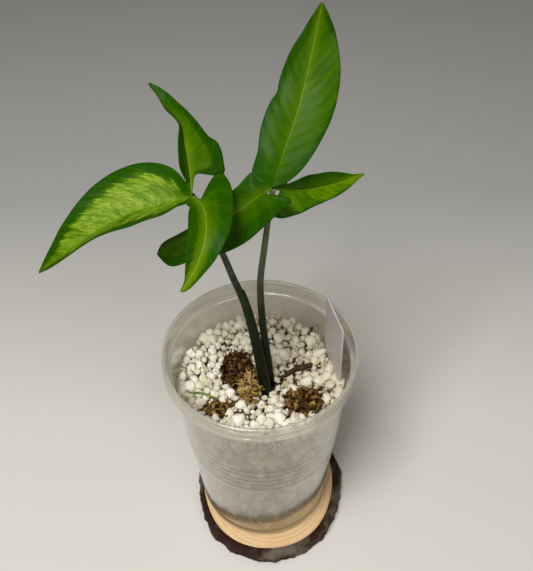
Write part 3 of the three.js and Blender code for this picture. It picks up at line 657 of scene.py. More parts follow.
def near_label(x, y):
    (ax, ay), (bx, by) = LABEL_LINE
    share = ((x - ax) * (bx - ax) + (y - ay) * (by - ay)) / ((bx - ax) ** 2 + (by - ay) ** 2)
    share = min(max(share, 0), 1)
    return math.hypot(x - ax - share * (bx - ax), y - ay - share * (by - ay)) < LABEL_GAP


def ground_mesh(name, keep_clear, sink):
    """The top of the heap as a net of small squares, without what stands on it."""
    step = 0.001
    count = int(BED_REACH / step)
    points, faces, known = [], [], {}

    def corner(i, j):
        if (i, j) not in known:
            known[i, j] = len(points)
            points.append((i * step, j * step, bed_height(i * step, j * step) - sink))
        return known[i, j]

    for i in range(-count, count):
        for j in range(-count, count):
            x, y = (i + 0.5) * step, (j + 0.5) * step
            from_stem = math.hypot(x - STEM_SPOT[0], y - STEM_SPOT[1])
            if math.hypot(x, y) > BED_REACH or from_stem < STEM_HOLE:
                continue
            if near_label(x, y) or keep_clear(x, y):
                continue
            faces.append((corner(i, j), corner(i + 1, j), corner(i + 1, j + 1), corner(i, j + 1)))
    return add_piece(name, points, faces, perlite)


WALL_LIMIT = {"Wall Foot": bed_wall(0), "Wall Slope": WALL_SLOPE, "Grain Material": perlite}
TOP_TONES = {"Darkest": 0.25, "Palest": 1.0}

large_pieces = []
for i, (x, y, radius) in enumerate(LARGE_GRAINS):
    x, y, size, half = x / 1000, y / 1000, radius / 1000, 0.0001
    z = bed_height(x, y) + 0.35 * radius / 1000
    corners = [(x - half, y - half, z), (x + half, y - half, z), (x, y + half, z)]
    spot = add_piece(f"grain_spot_{i}", corners, [(0, 1, 2)], perlite)
    values = {"Spacing": 0.01, "Smallest": size, "Largest": size, "Lumpiness": 1.5, "Lowest": 0.0}
    values |= {**WALL_LIMIT, **TOP_TONES, "Detail": 4, "Seed": i}
    large_pieces.append(grown(f"large_grain_{i}", spot, grain_tree, values))


def on_large_grain(x, y):
    return any(math.hypot(x - a / 1000, y - b / 1000) < 0.55 * r / 1000 for a, b, r in LARGE_GRAINS)


def off_limits(share):
    return lambda x, y: on_large_grain(x, y) or any(in_plot(x, y, p, share) for p in MOSS_PLOTS)


top_layers = [
    ("medium_grains", 0.0040, 0.0016, 0.0036, 1.7, off_limits(0.95), 0.0),
    ("small_grains", 0.0022, 0.0006, 0.0015, 1.6, off_limits(0.85), 0.0008),
]
top_pieces = []
for name, spacing, smallest, largest, lumpiness, keep_clear, sink in top_layers:
    ground = ground_mesh(name + "_ground", keep_clear, sink)
    values = {"Spacing": spacing, "Smallest": smallest, "Largest": largest, "Lumpiness": lumpiness}
    values |= {**WALL_LIMIT, **TOP_TONES, "Lowest": 0.0, "Detail": 2, "Seed": BED_SEED}
    top_pieces.append(grown(name, ground, grain_tree, values))


def merged(name, pieces):
    """Joins finished pieces into one, with their attributes."""
    bpy.ops.object.select_all(action="DESELECT")
    for piece in pieces:
        piece.select_set(True)
    bpy.context.view_layer.objects.active = pieces[0]
    bpy.ops.object.join()
    pieces[0].name = name
    return pieces[0]


perlite_top = merged("perlite_top", top_pieces + large_pieces)
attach(perlite_top, "root")

side_rows, side_columns = 40, 120
points = []
for row in range(side_rows):
    z = CUP_FLOOR + 0.0016 + (BED_LEVEL - 0.0016 - CUP_FLOOR) * row / (side_rows - 1)
    for s in range(side_columns):
        angle = 2 * math.pi * s / side_columns
        radius = bed_wall(z) - SIDE_GAP
        points.append((radius * math.cos(angle), radius * math.sin(angle), z))
ground = add_piece("side_ground", points, ring_faces(side_rows, side_columns), perlite)
# The grains against the wall take darker tones than those on top, as painted shade.
values = {"Spacing": 0.0041, "Smallest": 0.0018, "Largest": 0.0036, "Lumpiness": 1.5}
values |= {**WALL_LIMIT, "Lowest": CUP_FLOOR + 0.0002, "Darkest": -0.6, "Palest": 0.7}
values |= {"Detail": 2, "Seed": 9}
perlite_side = grown("perlite_side", ground, grain_tree, values)
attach(perlite_side, "root")

# Stem and roots: the buried base of the plant, pale and smooth, in the hole under the stalks.
young_root, tree = new_material("young_root")
place = node(tree, "ShaderNodeTexCoord").outputs["Object"]
mottle = node(tree, "ShaderNodeTexNoise", {"Vector": place, "Scale": 1000 / 2, "Detail": 3})
root_colour = node(
    tree,
    "ShaderNodeValToRGB",
    {"Fac": mottle},
    stops=[(0.3, "#9c8f63"), (0.55, "#cfc49d"), (0.75, "#e0d9bd")],
)
root_bump = node(tree, "ShaderNodeBump", {"Height": mottle, "Strength": 0.3, "Distance": 0.0003})
surface = node(
    tree, "ShaderNodeBsdfPrincipled", {"Base Color": root_colour, "Roughness": 0.6, "Normal": root_bump}
)
node(tree, "ShaderNodeOutputMaterial", {"Surface": surface})
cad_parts["stem_and_roots"].data.materials.clear()
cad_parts["stem_and_roots"].data.materials.append(young_root)

# Moss: four tufts of dried moss and fern fibre, pressed loosely onto the perlite. They
# are crinkled ribbons, golden where they catch the light, over a dark mound of painted shade.
dry_moss, tree = new_material("dried_moss")
place = node(tree, "ShaderNodeTexCoord").outputs["Object"]
tone = node(tree, "ShaderNodeAttribute", attribute_name="fibre_tone")
fibre_colour = node(
    tree,
    "ShaderNodeValToRGB",
    {"Fac": tone.outputs["Fac"]},
    stops=[(0.0, "#170c04"), (0.3, "#5f3f1e"), (0.6, "#8f6c38"), (0.85, "#b5924f"), (1.0, "#cdb078")],
)
fibre_grain = node(
    tree, "ShaderNodeTexNoise", {"Vector": place, "Scale": 1000 / 0.8, "Detail": 4, "Roughness": 0.7}
)
fibre_shade = node(
    tree,
    "ShaderNodeMapRange",
    {"Value": fibre_grain, "From Min": 0.3, "From Max": 0.65, "To Min": 0.45, "To Max": 1.1},
)
shaded = node(tree, "ShaderNodeVectorMath", {0: fibre_colour, "Scale": fibre_shade}, operation="SCALE")
fibre_bump = node(tree, "ShaderNodeBump", {"Height": fibre_grain, "Strength": 0.8, "Distance": 0.0005})
surface = node(
    tree,
    "ShaderNodeBsdfPrincipled",
    {"Base Color": shaded, "Roughness": 0.9, "Specular IOR Level": 0.1, "Normal": fibre_bump},
)
node(tree, "ShaderNodeOutputMaterial", {"Surface": surface})

fibre_sizes = ["Spacing", "Fibre Length", "Fibre Width", "Crinkle", "Lowest", "Darkest", "Lightest"]
tree, given = growing_tree("crinkled_fibres", "Mound", fibre_sizes, ["Seed"], "Fibre Material", "Tuft")
roots = node(
    tree,
    "GeometryNodeDistributePointsOnFaces",
    {"Mesh": given["Mound"], "Distance Min": given["Spacing"], "Density Max": 6e6, "Seed": given["Seed"]},
    distribute_method="POISSON",
)
shade = node(tree, "FunctionNodeRandomValue", {2: given["Darkest"], 3: given["Lightest"], "Seed": 12})
fibre_start = node(
    tree,
    "GeometryNodeStoreNamedAttribute",
    {"Geometry": roots, "Name": "fibre_tone", "Value": shade},
)
straight = node(tree, "GeometryNodeCurvePrimitiveLine", {"Start": (-0.5, 0, 0), "End": (0.5, 0, 0)})
steps = node(tree, "GeometryNodeResampleCurve", {"Curve": straight, "Count": 12})
any_turn = node(
    tree,
    "FunctionNodeRandomValue",
    {0: (-0.7, -0.7, 0), 1: (0.7, 0.7, 6.28), "Seed": given["Seed"]},
    data_type="FLOAT_VECTOR",
)
any_length = node(tree, "FunctionNodeRandomValue", {2: 0.5, 3: 1.25, "Seed": 2})
fibre_length = node(
    tree, "ShaderNodeMath", {0: any_length, 1: given["Fibre Length"]}, operation="MULTIPLY"
)
strewn = node(
    tree,
    "GeometryNodeInstanceOnPoints",
    {"Points": fibre_start, "Instance": steps, "Rotation": any_turn, "Scale": fibre_length},
)
lines = node(tree, "GeometryNodeRealizeInstances", {"Geometry": strewn})
here = node(tree, "GeometryNodeInputPosition")
bend = node(
    tree, "ShaderNodeTexNoise", {"Vector": here, "Scale": 1000 / 3.2, "Detail": 2, "Roughness": 0.6}
)
centred = node(
    tree, "ShaderNodeVectorMath", {0: bend.outputs["Color"], 1: (0.5, 0.5, 0.42)}, operation="SUBTRACT"
)
bend_move = node(tree, "ShaderNodeVectorMath", {0: centred, "Scale": given["Crinkle"]}, operation="SCALE")
bent = node(tree, "GeometryNodeSetPosition", {"Geometry": lines, "Offset": bend_move})
run = node(tree, "GeometryNodeSplineParameter")
half_turn = node(tree, "ShaderNodeMath", {0: run.outputs["Factor"], 1: math.pi}, operation="MULTIPLY")
taper = node(tree, "ShaderNodeMath", {0: half_turn}, operation="SINE")
width_noise = node(tree, "ShaderNodeTexNoise", {"Vector": here, "Scale": 1000 / 1.6})
fullness = node(tree, "ShaderNodeMath", {0: taper, 1: width_noise, 2: 0.12}, operation="MULTIPLY_ADD")
fibre_width = node(tree, "ShaderNodeMath", {0: fullness, 1: given["Fibre Width"]}, operation="MULTIPLY")
turn_noise = node(tree, "ShaderNodeTexNoise", {"Vector": here, "Scale": 1000 / 5})
twist = node(tree, "ShaderNodeMath", {0: turn_noise, 1: 14}, operation="MULTIPLY")
twisted = node(tree, "GeometryNodeSetCurveTilt", {"Curve": bent, "Tilt": twist})
round_section = node(tree, "GeometryNodeCurvePrimitiveCircle", {"Resolution": 6})
flat_section = node(tree, "GeometryNodeTransform", {"Geometry": round_section, "Scale": (1, 0.28, 1)})
ribbons = node(
    tree,
    "GeometryNodeCurveToMesh",
    {"Curve": twisted, "Profile Curve": flat_section, "Scale": fibre_width, "Fill Caps": True},
)
parts = node(tree, "ShaderNodeSeparateXYZ", {0: here})
lifted = node(tree, "ShaderNodeMath", {0: parts.outputs[2], 1: given["Lowest"]}, operation="MAXIMUM")
settled = node(tree, "ShaderNodeCombineXYZ", {0: parts.outputs[0], 1: parts.outputs[1], 2: lifted})
resting = node(tree, "GeometryNodeSetPosition", {"Geometry": ribbons, "Position": settled})
tuft = node(tree, "GeometryNodeJoinGeometry", {"Geometry": resting})
tree.links.new(given["Mound"], tuft.inputs[0])
soft = node(tree, "GeometryNodeSetShadeSmooth", {"Geometry": tuft})
real = node(tree, "GeometryNodeRealizeInstances", {"Geometry": soft})
painted = node(tree, "GeometryNodeSetMaterial", {"Geometry": real, "Material": given["Fibre Material"]})
node(tree, "NodeGroupOutput", {"Tuft": painted})
moss_tree = tree

TUFTS = {  # where it lies, its height, the fibres' spacing, length, width and crinkle, tones, seed
    "centre": ((-0.0120, 0.0040, 0.0078, 0.0120), 0.0060, 0.0020, 0.0120, 0.0019, 0.0075, 0.0, 0.6, 4),
    "golden": ((-0.0062, -0.0070, 0.0042, 0.0090), 0.0072, 0.0019, 0.0120, 0.0017, 0.0070, 0.5, 1.0, 21),
    "right": ((0.0205, -0.0150, 0.0092, 0.0078), 0.0046, 0.0021, 0.0100, 0.0022, 0.0060, 0.05, 0.8, 7),
    "left": ((-0.0212, -0.0190, 0.0080, 0.0048), 0.0038, 0.0020, 0.0085, 0.0017, 0.0055, 0.1, 0.85, 11),
}
for name, tuft in TUFTS.items():
    (px, py, half_width, half_depth), height, spacing, length, width, crinkle, *tones, seed = tuft
    darkest, lightest = tones
    rings = [(0, BED_LEVEL - 0.0015)]
    for share, rise in ((0.9, -0.001), (0.92, 0.1), (0.8, 0.55), (0.55, 0.85), (0.25, 0.98)):
        rings.append((share, BED_LEVEL + (rise * height if rise > 0 else rise)))
    rings.append((0, BED_LEVEL + height))
    points, faces = turned(rings, 24)
    lumpy_points = []
    for x, y, z in points:
        bulge = 1 + 0.15 * noise.noise(Vector((x * 3, y * 3, seed)))
        lumpy_points.append((px + x * half_width * bulge, py + y * half_depth * bulge, z))
    mound = add_piece("mound_" + name, lumpy_points, faces, dry_moss)
    # The mound takes a tone darker than its fibres, as painted shade under them.
    layer = mound.data.attributes.new("fibre_tone", "FLOAT", "POINT")
    layer.data.foreach_set("value", [darkest * 0.6] * len(points))
    values = {"Spacing": spacing, "Fibre Length": length, "Fibre Width": width, "Crinkle": crinkle}
    values |= {"Lowest": BED_LEVEL - 0.0005, "Darkest": darkest, "Lightest": lightest}
    values |= {"Seed": seed, "Fibre Material": dry_moss}
    moss = grown("moss_tuft_" + name, mound, moss_tree, values)
    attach(moss, "root")
    if name != "golden":
        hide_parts("moss_" + name)

# Twig, splinter and green strand: scraps that came with the moss. The twig is a broken
# bit of stalk with its bark on, and the strand is still alive.
twig_bark, tree = new_material("twig_bark")
place = node(tree, "ShaderNodeTexCoord").outputs["Object"]
streaks = node(tree, "ShaderNodeTexNoise", {"Vector": place, "Scale": 1000 / 1.2, "Detail": 4})
twig_colour = node(
    tree,
    "ShaderNodeValToRGB",
    {"Fac": streaks},
    stops=[(0.35, "#1d120b"), (0.55, "#3f2c1e"), (0.72, "#6d5640")],
)
streak_bump = node(tree, "ShaderNodeBump", {"Height": streaks, "Strength": 0.7, "Distance": 0.0004})
surface = node(
    tree,
    "ShaderNodeBsdfPrincipled",
    {"Base Color": twig_colour, "Roughness": 0.8, "Specular IOR Level": 0.15, "Normal": streak_bump},
)
node(tree, "ShaderNodeOutputMaterial", {"Surface": surface})

live_moss, tree = new_material("live_moss")
place = node(tree, "ShaderNodeTexCoord").outputs["Object"]
patches = node(tree, "ShaderNodeTexNoise", {"Vector": place, "Scale": 1000 / 2, "Detail": 2})
strand_colour = node(
    tree, "ShaderNodeValToRGB", {"Fac": patches}, stops=[(0.4, "#465c16"), (0.6, "#7d8f30")]
)
surface = node(tree, "ShaderNodeBsdfPrincipled", {"Base Color": strand_colour, "Roughness": 0.6})
node(tree, "ShaderNodeOutputMaterial", {"Surface": surface})


def along(values, t):
    """A smooth run through evenly spaced values or points, as t goes from 0 to 1."""
    last = len(values) - 1
    place = min(max(t, 0), 1) * last
    i = min(int(place), last - 1)
    f = place - i
    b, c = values[i], values[i + 1]
    a = values[i - 1] if i > 0 else 2 * b - c
    d = values[i + 2] if i < last - 1 else 2 * c - b
    return b + 0.5 * f * (c - a + f * (2 * a - 5 * b + 4 * c - d + f * (3 * (b - c) + d - a)))


def stick(path, section, sides, steps):
    """A closed tube along a path in millimetres. section(t, angle) is its radius there."""
    path = [np.array(p, float) for p in path]
    points = []
    side = np.array([1.0, 0.0, 0.0])
    for i in range(steps + 1):
        t = i / steps
        centre = along(path, t)
        ahead = along(path, min(t + 0.002, 1)) - along(path, max(t - 0.002, 0))
        ahead /= np.linalg.norm(ahead)
        side -= ahead * side.dot(ahead)
        side /= np.linalg.norm(side)
        other = np.cross(ahead, side)
        for s in range(sides):
            angle = 2 * math.pi * s / sides
            radius = section(t, angle)
            point = centre + radius * (math.cos(angle) * side + math.sin(angle) * other)
            points.append(point / 1000)
    faces = ring_faces(steps + 1, sides)
    for end, order in ((0, -1), (steps, 1)):
        middle = len(points)
        points.append(along(path, end / steps) / 1000)
        rim = [end * sides + s for s in range(sides)]
        for a, b in zip(rim, rim[1:] + rim[:1]):
            faces.append((middle, a, b)[::order])
    return points, faces


def twig_section(t, angle):
    knot = 0.25 * math.exp(-(((t - 0.55) / 0.06) ** 2))
    ridges = 1 + 0.1 * math.cos(3 * angle + 5 * t) + 0.05 * math.cos(7 * angle)
    return along([0.8, 1.05, 1.35, 1.5, 1.3], t) * (ridges + knot)


twig_path = [(9.8, -0.4, 108.6), (14.5, 2.2, 109.3), (18.5, 4.4, 109.5), (22.5, 5.2, 110.0)]
twig_path.append((26.2, 6.2, 110.2))
points, faces = stick(twig_path, twig_section, 16, 60)
broken_twig = add_piece("broken_twig", points, faces, twig_bark)
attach(broken_twig, "root")
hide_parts("twig")

splinter_path = [(25.8, 27.6, 108.8), (26.8, 29.4, 110.2), (27.9, 31.4, 111.2)]
points, faces = stick(splinter_path, lambda t, angle: 0.7 + 0.35 * math.sin(2 * angle) ** 2, 10, 16)
splinter = add_piece("splinter", points, faces, twig_bark)
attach(splinter, "root")

strand_path = [(-38.6, -8.2, 111.8), (-34.5, -11.2, 112.1), (-30.2, -10.9, 111.5)]
strand_path += [(-26.0, -12.6, 111.6), (-22.1, -13.5, 110.6)]
points, faces = stick(strand_path, lambda t, angle: 0.2 + 0.35 * math.sin(math.pi * t) ** 0.5, 10, 40)
green_strand = add_piece("green_strand", points, faces, live_moss)
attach(green_strand, "root")

# Label: a plain plant label, cut from white polypropylene sheet and pushed in beside the
# wall. It is bare, a little scuffed, and soiled where it meets the perlite.
label_sheet, tree = new_material("white_polypropylene")
place = node(tree, "ShaderNodeTexCoord").outputs["Object"]
scuffs = node(
    tree, "ShaderNodeTexNoise", {"Vector": place, "Scale": 1000 / 4, "Detail": 5, "Roughness": 0.65}
)
label_colour = node(
    tree,
    "ShaderNodeValToRGB",
    {"Fac": scuffs},
    stops=[(0.3, "#aea8a4"), (0.6, "#bbb5b2"), (0.8, "#c6c0be")],
)
scuff_gloss = node(
    tree,
    "ShaderNodeMapRange",
    {"Value": scuffs, "From Min": 0.35, "From Max": 0.65, "To Min": 0.3, "To Max": 0.5},
)
surface = node(
    tree, "ShaderNodeBsdfPrincipled", {"Base Color": label_colour, "Roughness": scuff_gloss, "IOR": 1.49}
)
node(tree, "ShaderNodeOutputMaterial", {"Surface": surface})
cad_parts["plant_label"].data.materials.clear()
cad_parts["plant_label"].data.materials.append(label_sheet)

# Leaf stalks: smooth olive-green petioles. Each has a shallow groove, and the left one
# keeps the sheath that wraps its lower half and ends in a small step.
STALKS = {
    "right": {
        "path": [
            (4.6, -1.6, 104.2),
            (3.2, -0.4, 127),
            (1.5, -0.2, 151),
            (1, 0.2, 174),
            (3.0, 1, 193),
            (5.2, 2.3, 210),
            (7.0, 2.4, 222.8),
        ],
        "radii": [2.6, 2.0, 1.7, 1.5, 1.35, 1.2, 1.1],
        "groove": 0.26,
        "groove_side": -1.2,
        "sheath": 0.0,
    },
    "left": {
        "path": [
            (2.4, -7.6, 104.2),
            (-1.3, -3.8, 135),
            (-6, 0.8, 160),
            (-11, 5, 173.5),
            (-15.5, 9.5, 185),
            (-21, 11.8, 200),
            (-24.8, 6.2, 217.6),
        ],
        "radii": [2.8, 2.2, 1.75, 1.55, 1.4, 1.35, 1.2],
        "groove": 0.12,
        "groove_side": 2.4,
        "sheath": 0.42,
    },
}

stalk_skin, tree = new_material("petiole_skin")
place = node(tree, "ShaderNodeTexCoord").outputs["Object"]
# Painted shade: each stalk grows darker towards its foot, by the stalk_run value.
run = node(tree, "ShaderNodeAttribute", attribute_name="stalk_run")
long_streaks = node(tree, "ShaderNodeMapping", {"Vector": place, "Scale": (1, 1, 0.12)})
blotches = node(tree, "ShaderNodeTexNoise", {"Vector": long_streaks, "Scale": 1000 / 1.3, "Detail": 4})
stalk_tone = node(
    tree, "ShaderNodeMath", {0: blotches, 1: 0.4, 2: run.outputs["Fac"]}, operation="MULTIPLY_ADD"
)
stalk_colour = node(
    tree,
    "ShaderNodeValToRGB",
    {"Fac": stalk_tone},
    stops=[(0.2, "#050a02"), (0.4, "#161f0c"), (0.6, "#4b5237"), (0.85, "#6c704e")],
)
stalk_bump = node(tree, "ShaderNodeBump", {"Height": blotches, "Strength": 0.25, "Distance": 0.0003})
surface = node(
    tree,
    "ShaderNodeBsdfPrincipled",
    {"Base Color": stalk_colour, "Roughness": 0.4, "Specular IOR Level": 0.16, "Normal": stalk_bump},
)
node(tree, "ShaderNodeOutputMaterial", {"Surface": surface})

STALK_SIDES = 28
STALK_STEPS = 150
for name, stalk in STALKS.items():

    def stalk_section(t, angle):
        away = math.cos(angle - stalk["groove_side"])
        radius = along(stalk["radii"], t) * (1 - stalk["groove"] * max(0, away) ** 10)
        if stalk["sheath"]:
            wrap = min(1, max(0, (stalk["sheath"] - t) / 0.012))
            facing = max(0, math.cos(angle + 0.5)) ** 2
            radius += wrap * (0.12 + 0.75 * facing * min(1, 0.5 + t))
        return radius

    points, faces = stick(stalk["path"], stalk_section, STALK_SIDES, STALK_STEPS)
    piece = add_piece("petiole_skin_" + name, points, faces, stalk_skin)
    # stalk_run rises from the foot of the stalk to its top, so the foot carries painted shade.
    steps_up = [i // STALK_SIDES / STALK_STEPS for i in range(STALK_SIDES * (STALK_STEPS + 1))]
    layer = piece.data.attributes.new("stalk_run", "FLOAT", "POINT")
    layer.data.foreach_set("value", [0.55 * t for t in steps_up] + [0, 0.55])
    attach(piece, "root")
    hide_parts("petiole_" + name)

# Leaves: two blades of three lobes each, one soft sheet that creases along the midribs. A
# lobe is given in millimetres and degrees by its midrib, the way its upper face looks and,
# for either half, its width, the sweep of its veins and its fold, from its base to its tip.
BLADE_ROWS = 110
HALF_COLUMNS = 16
SINUS_ROWS = 18
VEIN_HOOK = 18
VEIN_SLANT = 0.75
LOBE_APART = 200
BLADE = 0.45
MIDRIB = 0.9
MIDRIB_GROOVE = 0.12
MIDRIB_SPREAD = 0.8
BAND_SPREAD = 2.2
ROW_EASE = 1.15
ROW_TIMES = [(i / BLADE_ROWS) ** ROW_EASE for i in range(BLADE_ROWS + 1)]
RIGHT_JUNCTION = (6.5, 2, 224)
LEFT_JUNCTION = (-25, 5, 218.5)

# Left is seen from above with the tip ahead.
RIGHT_LOBES = {
    "middle": {
        "rib": [(11, 13, 231), (16.5, 25, 240.5), (20.5, 34, 251), (24, 40, 264.5), (26.5, 42, 278)],
        "face": [(-0.1, -0.75, 0.7), (-0.1, -0.8, 0.6), (-0.1, -0.85, 0.5), (-0.1, -0.9, 0.5)],
        "wave": (0.8, 3, 1.2),
        "left": {
            "width": [
                0, 3.6, 6.6, 8.6, 9.6, 10.8, 11.8, 12.1, 11.8, 10.8, 11.3, 11.3, 10.9, 10.2, 9, 7.6, 6.2,
                4.9, 3.6, 2.2, 0.5,
            ],
            "sweep": [-80, -60, -40, -15, 0, 8, 14, 18, 22, 26, 30],
            "fold": [10, 14, 14, 12, 8],
            "curl": [0, -20, -25, -20, 0],
            "light": [0.0, 0.15, 0.4, 0.4, 0.35, 0.4, 0.2],
            "reach": [0.6, 0.72, 0.8, 0.75, 0.6, 0.4, 0.2],
            "band": [0.1, 0.2, 0.35, 0.4, 0.5, 0.6, 0.4],
        },
        "right": {
            "width": [0, 6.5, 10.5, 13, 14.5, 15.2, 14.5, 12, 8.7, 5, 0.5],
            "sweep": [-50, -30, -15, -5, 0, 8, 14, 18, 22, 26, 30],
            "fold": [10, 14, 14, 12, 8],
            "curl": [0, -20, -25, -20, 0],
            "light": [0.0, 0.3, 0.45, 0.55, 0.5, 0.45, 0.2],
            "reach": [0.5, 0.7, 0.85, 1.05, 1.05, 0.8, 0.3],
            "band": [0.1, 0.25, 0.35, 0.4, 0.5, 0.6, 0.4],
        },
    },
    "outer": {
        "rib": [(16, 6, 219.5), (24, 11, 216.5), (35, 17, 215), (45, 22, 215.5)],
        "face": [(-0.1, -1, 0.1), (0, -0.7, 0.7), (0.1, -0.35, 0.9)],
        "wave": (0.5, 2, 0),
        "left": {
            "width": [0, 2.5, 5.5, 6.2, 6.3, 6.2, 6, 5, 3.5, 1.5, 0.5],
            "sweep": [-30, -20, -10, -5, 0, 5, 10, 15, 20, 25, 30],
            "fold": [20, 25, 20, 10],
            "curl": [0, -10, -10, 0],
            "light": [0.1, 0.15, 0.2, 0.3],
            "reach": [0.5, 0.6, 0.6, 0.6],
            "band": [0.0, 0.1, 0.2, 0.6],
        },
        "right": {
            "width": [0, 1, 12.5, 10, 7.5, 6.7, 6.2, 5, 3.5, 2, 0.5],
            "sweep": [-20, -50, -50, -30, -15, 0, 5, 10, 15, 20, 25],
            "fold": [5, 12, 15, 10],
            "curl": [0, -10, -10, 0],
            "light": [0.3, 0.75, 0.85, 0.8],
            "reach": [0.8, 0.9, 0.9, 0.9],
            "band": [0.1, 0.3, 0.4, 0.7],
        },
    },
    "inner": {
        "rib": [(-0.5, 0.5, 219.5), (-7.5, 1, 213), (-18, 4, 204.5), (-29.5, 7, 195), (-43.5, 10, 184)],
        "face": [(0.1, -0.7, 0.7), (0.1, -0.8, 0.6), (0.1, -0.8, 0.6)],
        "wave": (0.5, 2, 0),
        "left": {
            "width": [0, 0.6, 15.5, 14, 12.5, 12.7, 12.5, 11.3, 10.4, 9.2, 0.5],
            "sweep": [-72, -74, -74, -62, -50, -30, -15, 0, 10, 20, 25],
            "fold": [8, 10, 10, 8],
            "curl": [0, -10, -10, 0],
            "light": [0.15, 0.25, 0.3, 0.2, 0.25, 0.45],
            "reach": [0.7, 0.7, 0.6, 0.5, 0.5, 0.5],
            "band": [0.3, 0.5, 0.35, 0.2, 0.1, 0.1],
        },
        "right": {
            "width": [0, 4.5, 7.5, 8, 7.8, 6.5, 5, 4.2, 4.4, 4.6, 0.5],
            "sweep": [-40, -30, -20, -10, 0, 5, 10, 15, 20, 25, 30],
            "fold": [10, 14, 16, 10],
            "curl": [0, -10, -10, 0],
            "light": [0.1, 0.2, 0.2, 0.2],
            "reach": [0.6, 0.6, 0.6, 0.6],
            "band": [0.3, 0.5, 0.3, 0.1],
        },
    },
}
RIGHT_JOINS = [("middle", "left", "inner", "right", 4), ("middle", "right", "outer", "left", 2)]

LEFT_LOBES = {
    "middle": {
        "rib": [(-34.5, 5, 215.5), (-46, 3, 213.5), (-57, -1, 211), (-70.5, -6, 204.5), (-88, -10, 193)],
        "face": [(-0.2, -0.15, 1), (-0.3, -0.15, 1), (-0.4, -0.15, 0.9)],
        "wave": (0.4, 2, 0),
        "left": {
            "width": [0, 7.2, 12.5, 14.2, 16.5, 17, 14.5, 12.5, 10.5, 6.5, 0.5],
            "sweep": [-40, -30, -15, -5, 0, 5, 10, 15, 18, 18, 18],
            "fold": [24, 26, 26, 20],
            "curl": [0, -5, -5, 0],
            "light": [0.6, 0.9, 0.85, 0.8, 0.8, 0.5],
            "reach": [0.7, 0.75, 0.75, 0.8, 0.7, 0.4],
            "band": [0.5, 0.6, 0.7, 0.8, 0.8, 0.4],
        },
        "right": {
            "width": [0, 7, 15, 19.5, 20.3, 18.7, 16.5, 14, 11.3, 6.5, 0.5],
            "sweep": [-70, -50, -30, -15, -5, 0, 5, 10, 15, 20, 25],
            "fold": [30, 32, 30, 20],
            "curl": [0, -12, -12, 0],
            "light": [0.6, 0.95, 1.02, 1.0, 1.0, 0.88, 0.35],
            "reach": [0.1, 0.54, 0.72, 0.74, 0.7, 0.62, 0.25],
            "band": [0.4, 0.2, 0.2, 0.2, 0.3, 0.4, 0.3],
        },
    },
    "upper": {
        "rib": [
            (-25.5, 9, 229),
            (-26.6, 13, 236.5),
            (-28.6, 22, 240.5),
            (-35.4, 35.5, 241.3),
            (-42, 42, 247.5),
        ],
        "face": [
            (0.3, -0.8, 0.5), (0.3, -0.8, 0.5), (0.5, -0.6, 0.5), (0.2, -0.5, 0.8), (-0.2, -0.3, 0.9)
        ],
        "wave": (0.3, 2, 0),
        "left": {
            "width": [0, 2, 5, 5.5, 5, 4, 3.4, 2.4, 1.5, 0.8, 0.5],
            "sweep": [-30, -20, -10, 0, 5, 10, 10, 10, 15, 20, 20],
            "fold": [30, 40, 40, 20, 10],
            "curl": [0, 0, 0, 0],
            "light": [0.1, 0.1, 0.1, 0.1],
            "reach": [0.4, 0.4, 0.4, 0.4],
            "band": [0.5, 0.4, 0.2, 0.0],
        },
        "right": {
            "width": [
                0, 0.6, 1.2, 2.2, 5, 14.8, 15, 14.2, 13, 11.6, 10, 8.2, 6.6, 5.9, 5.4, 5, 4.6, 3.9, 3,
                1.8, 0.5,
            ],
            "sweep": [-10, -12, -12, -20, -12, -5, 0, 5, 10, 15, 20],
            "hook": [-25, -25, -25, 0, 18, 18, 18, 18, 18, 18, 18],
            "fold": [5, 5, 10, 15, 10],
            "curl": [0, -10, -10, 0],
            "light": [0.2, 0.45, 0.55, 0.35, 0.0, 0.0],
            "reach": [0.4, 0.55, 0.65, 0.6, 0.5, 0.4],
            "band": [1.0, 1.1, 0.9, 0.3, 0.1, 0.0],
        },
    },
    "lower": {
        "rib": [
            (-20, -4, 219.5),
            (-18.5, -13, 217.5),
            (-19.5, -20, 213.5),
            (-23, -25, 206.5),
            (-28.5, -29, 199),
        ],
        "face": [(0, -0.6, 0.8), (0, -0.8, 0.6), (0, -0.9, 0.4)],
        "wave": (0.3, 2, 0),
        "left": {
            "width": [
                0, 0.6, 1, 3, 16.5, 16.5, 14.2, 11.6, 10, 9, 8, 7.2, 6.5, 5.9, 5.1, 4.4, 3.8, 3.3, 2.8, 2,
                0.5,
            ],
            "sweep": [-15, -15, -22, -34, -25, -10, 0, 5, 10, 15, 20],
            "hook": [-25, -25, -25, 0, 18, 18, 18, 18, 18, 18, 18],
            "fold": [10, 12, 12, 8],
            "curl": [0, -15, -10, 0],
            "light": [0.5, 0.25, 0.2, 0.25, 0.5, 0.7],
            "reach": [0.6, 0.45, 0.5, 0.5, 0.6, 0.6],
            "band": [0.7, 0.6, 0.7, 0.9, 1.0, 0.8],
        },
        "right": {
            "width": [0, 3.5, 6, 7.2, 7.5, 7.3, 6.6, 5.4, 3.8, 1.7, 0.5],
            "sweep": [-30, -20, -10, 0, 5, 10, 15, 15, 20, 25, 30],
            "fold": [15, 20, 20, 10],
            "curl": [0, -10, -10, 0],
            "light": [0.3, 0.3, 0.3, 0.4, 0.6, 0.6],
            "reach": [0.5, 0.4, 0.4, 0.5, 0.6, 0.6],
            "band": [0.6, 0.7, 0.8, 0.9, 1.0, 0.8],
        },
    },
}
LEFT_JOINS = [("middle", "right", "upper", "left", 2), ("middle", "left", "lower", "right", 2)]


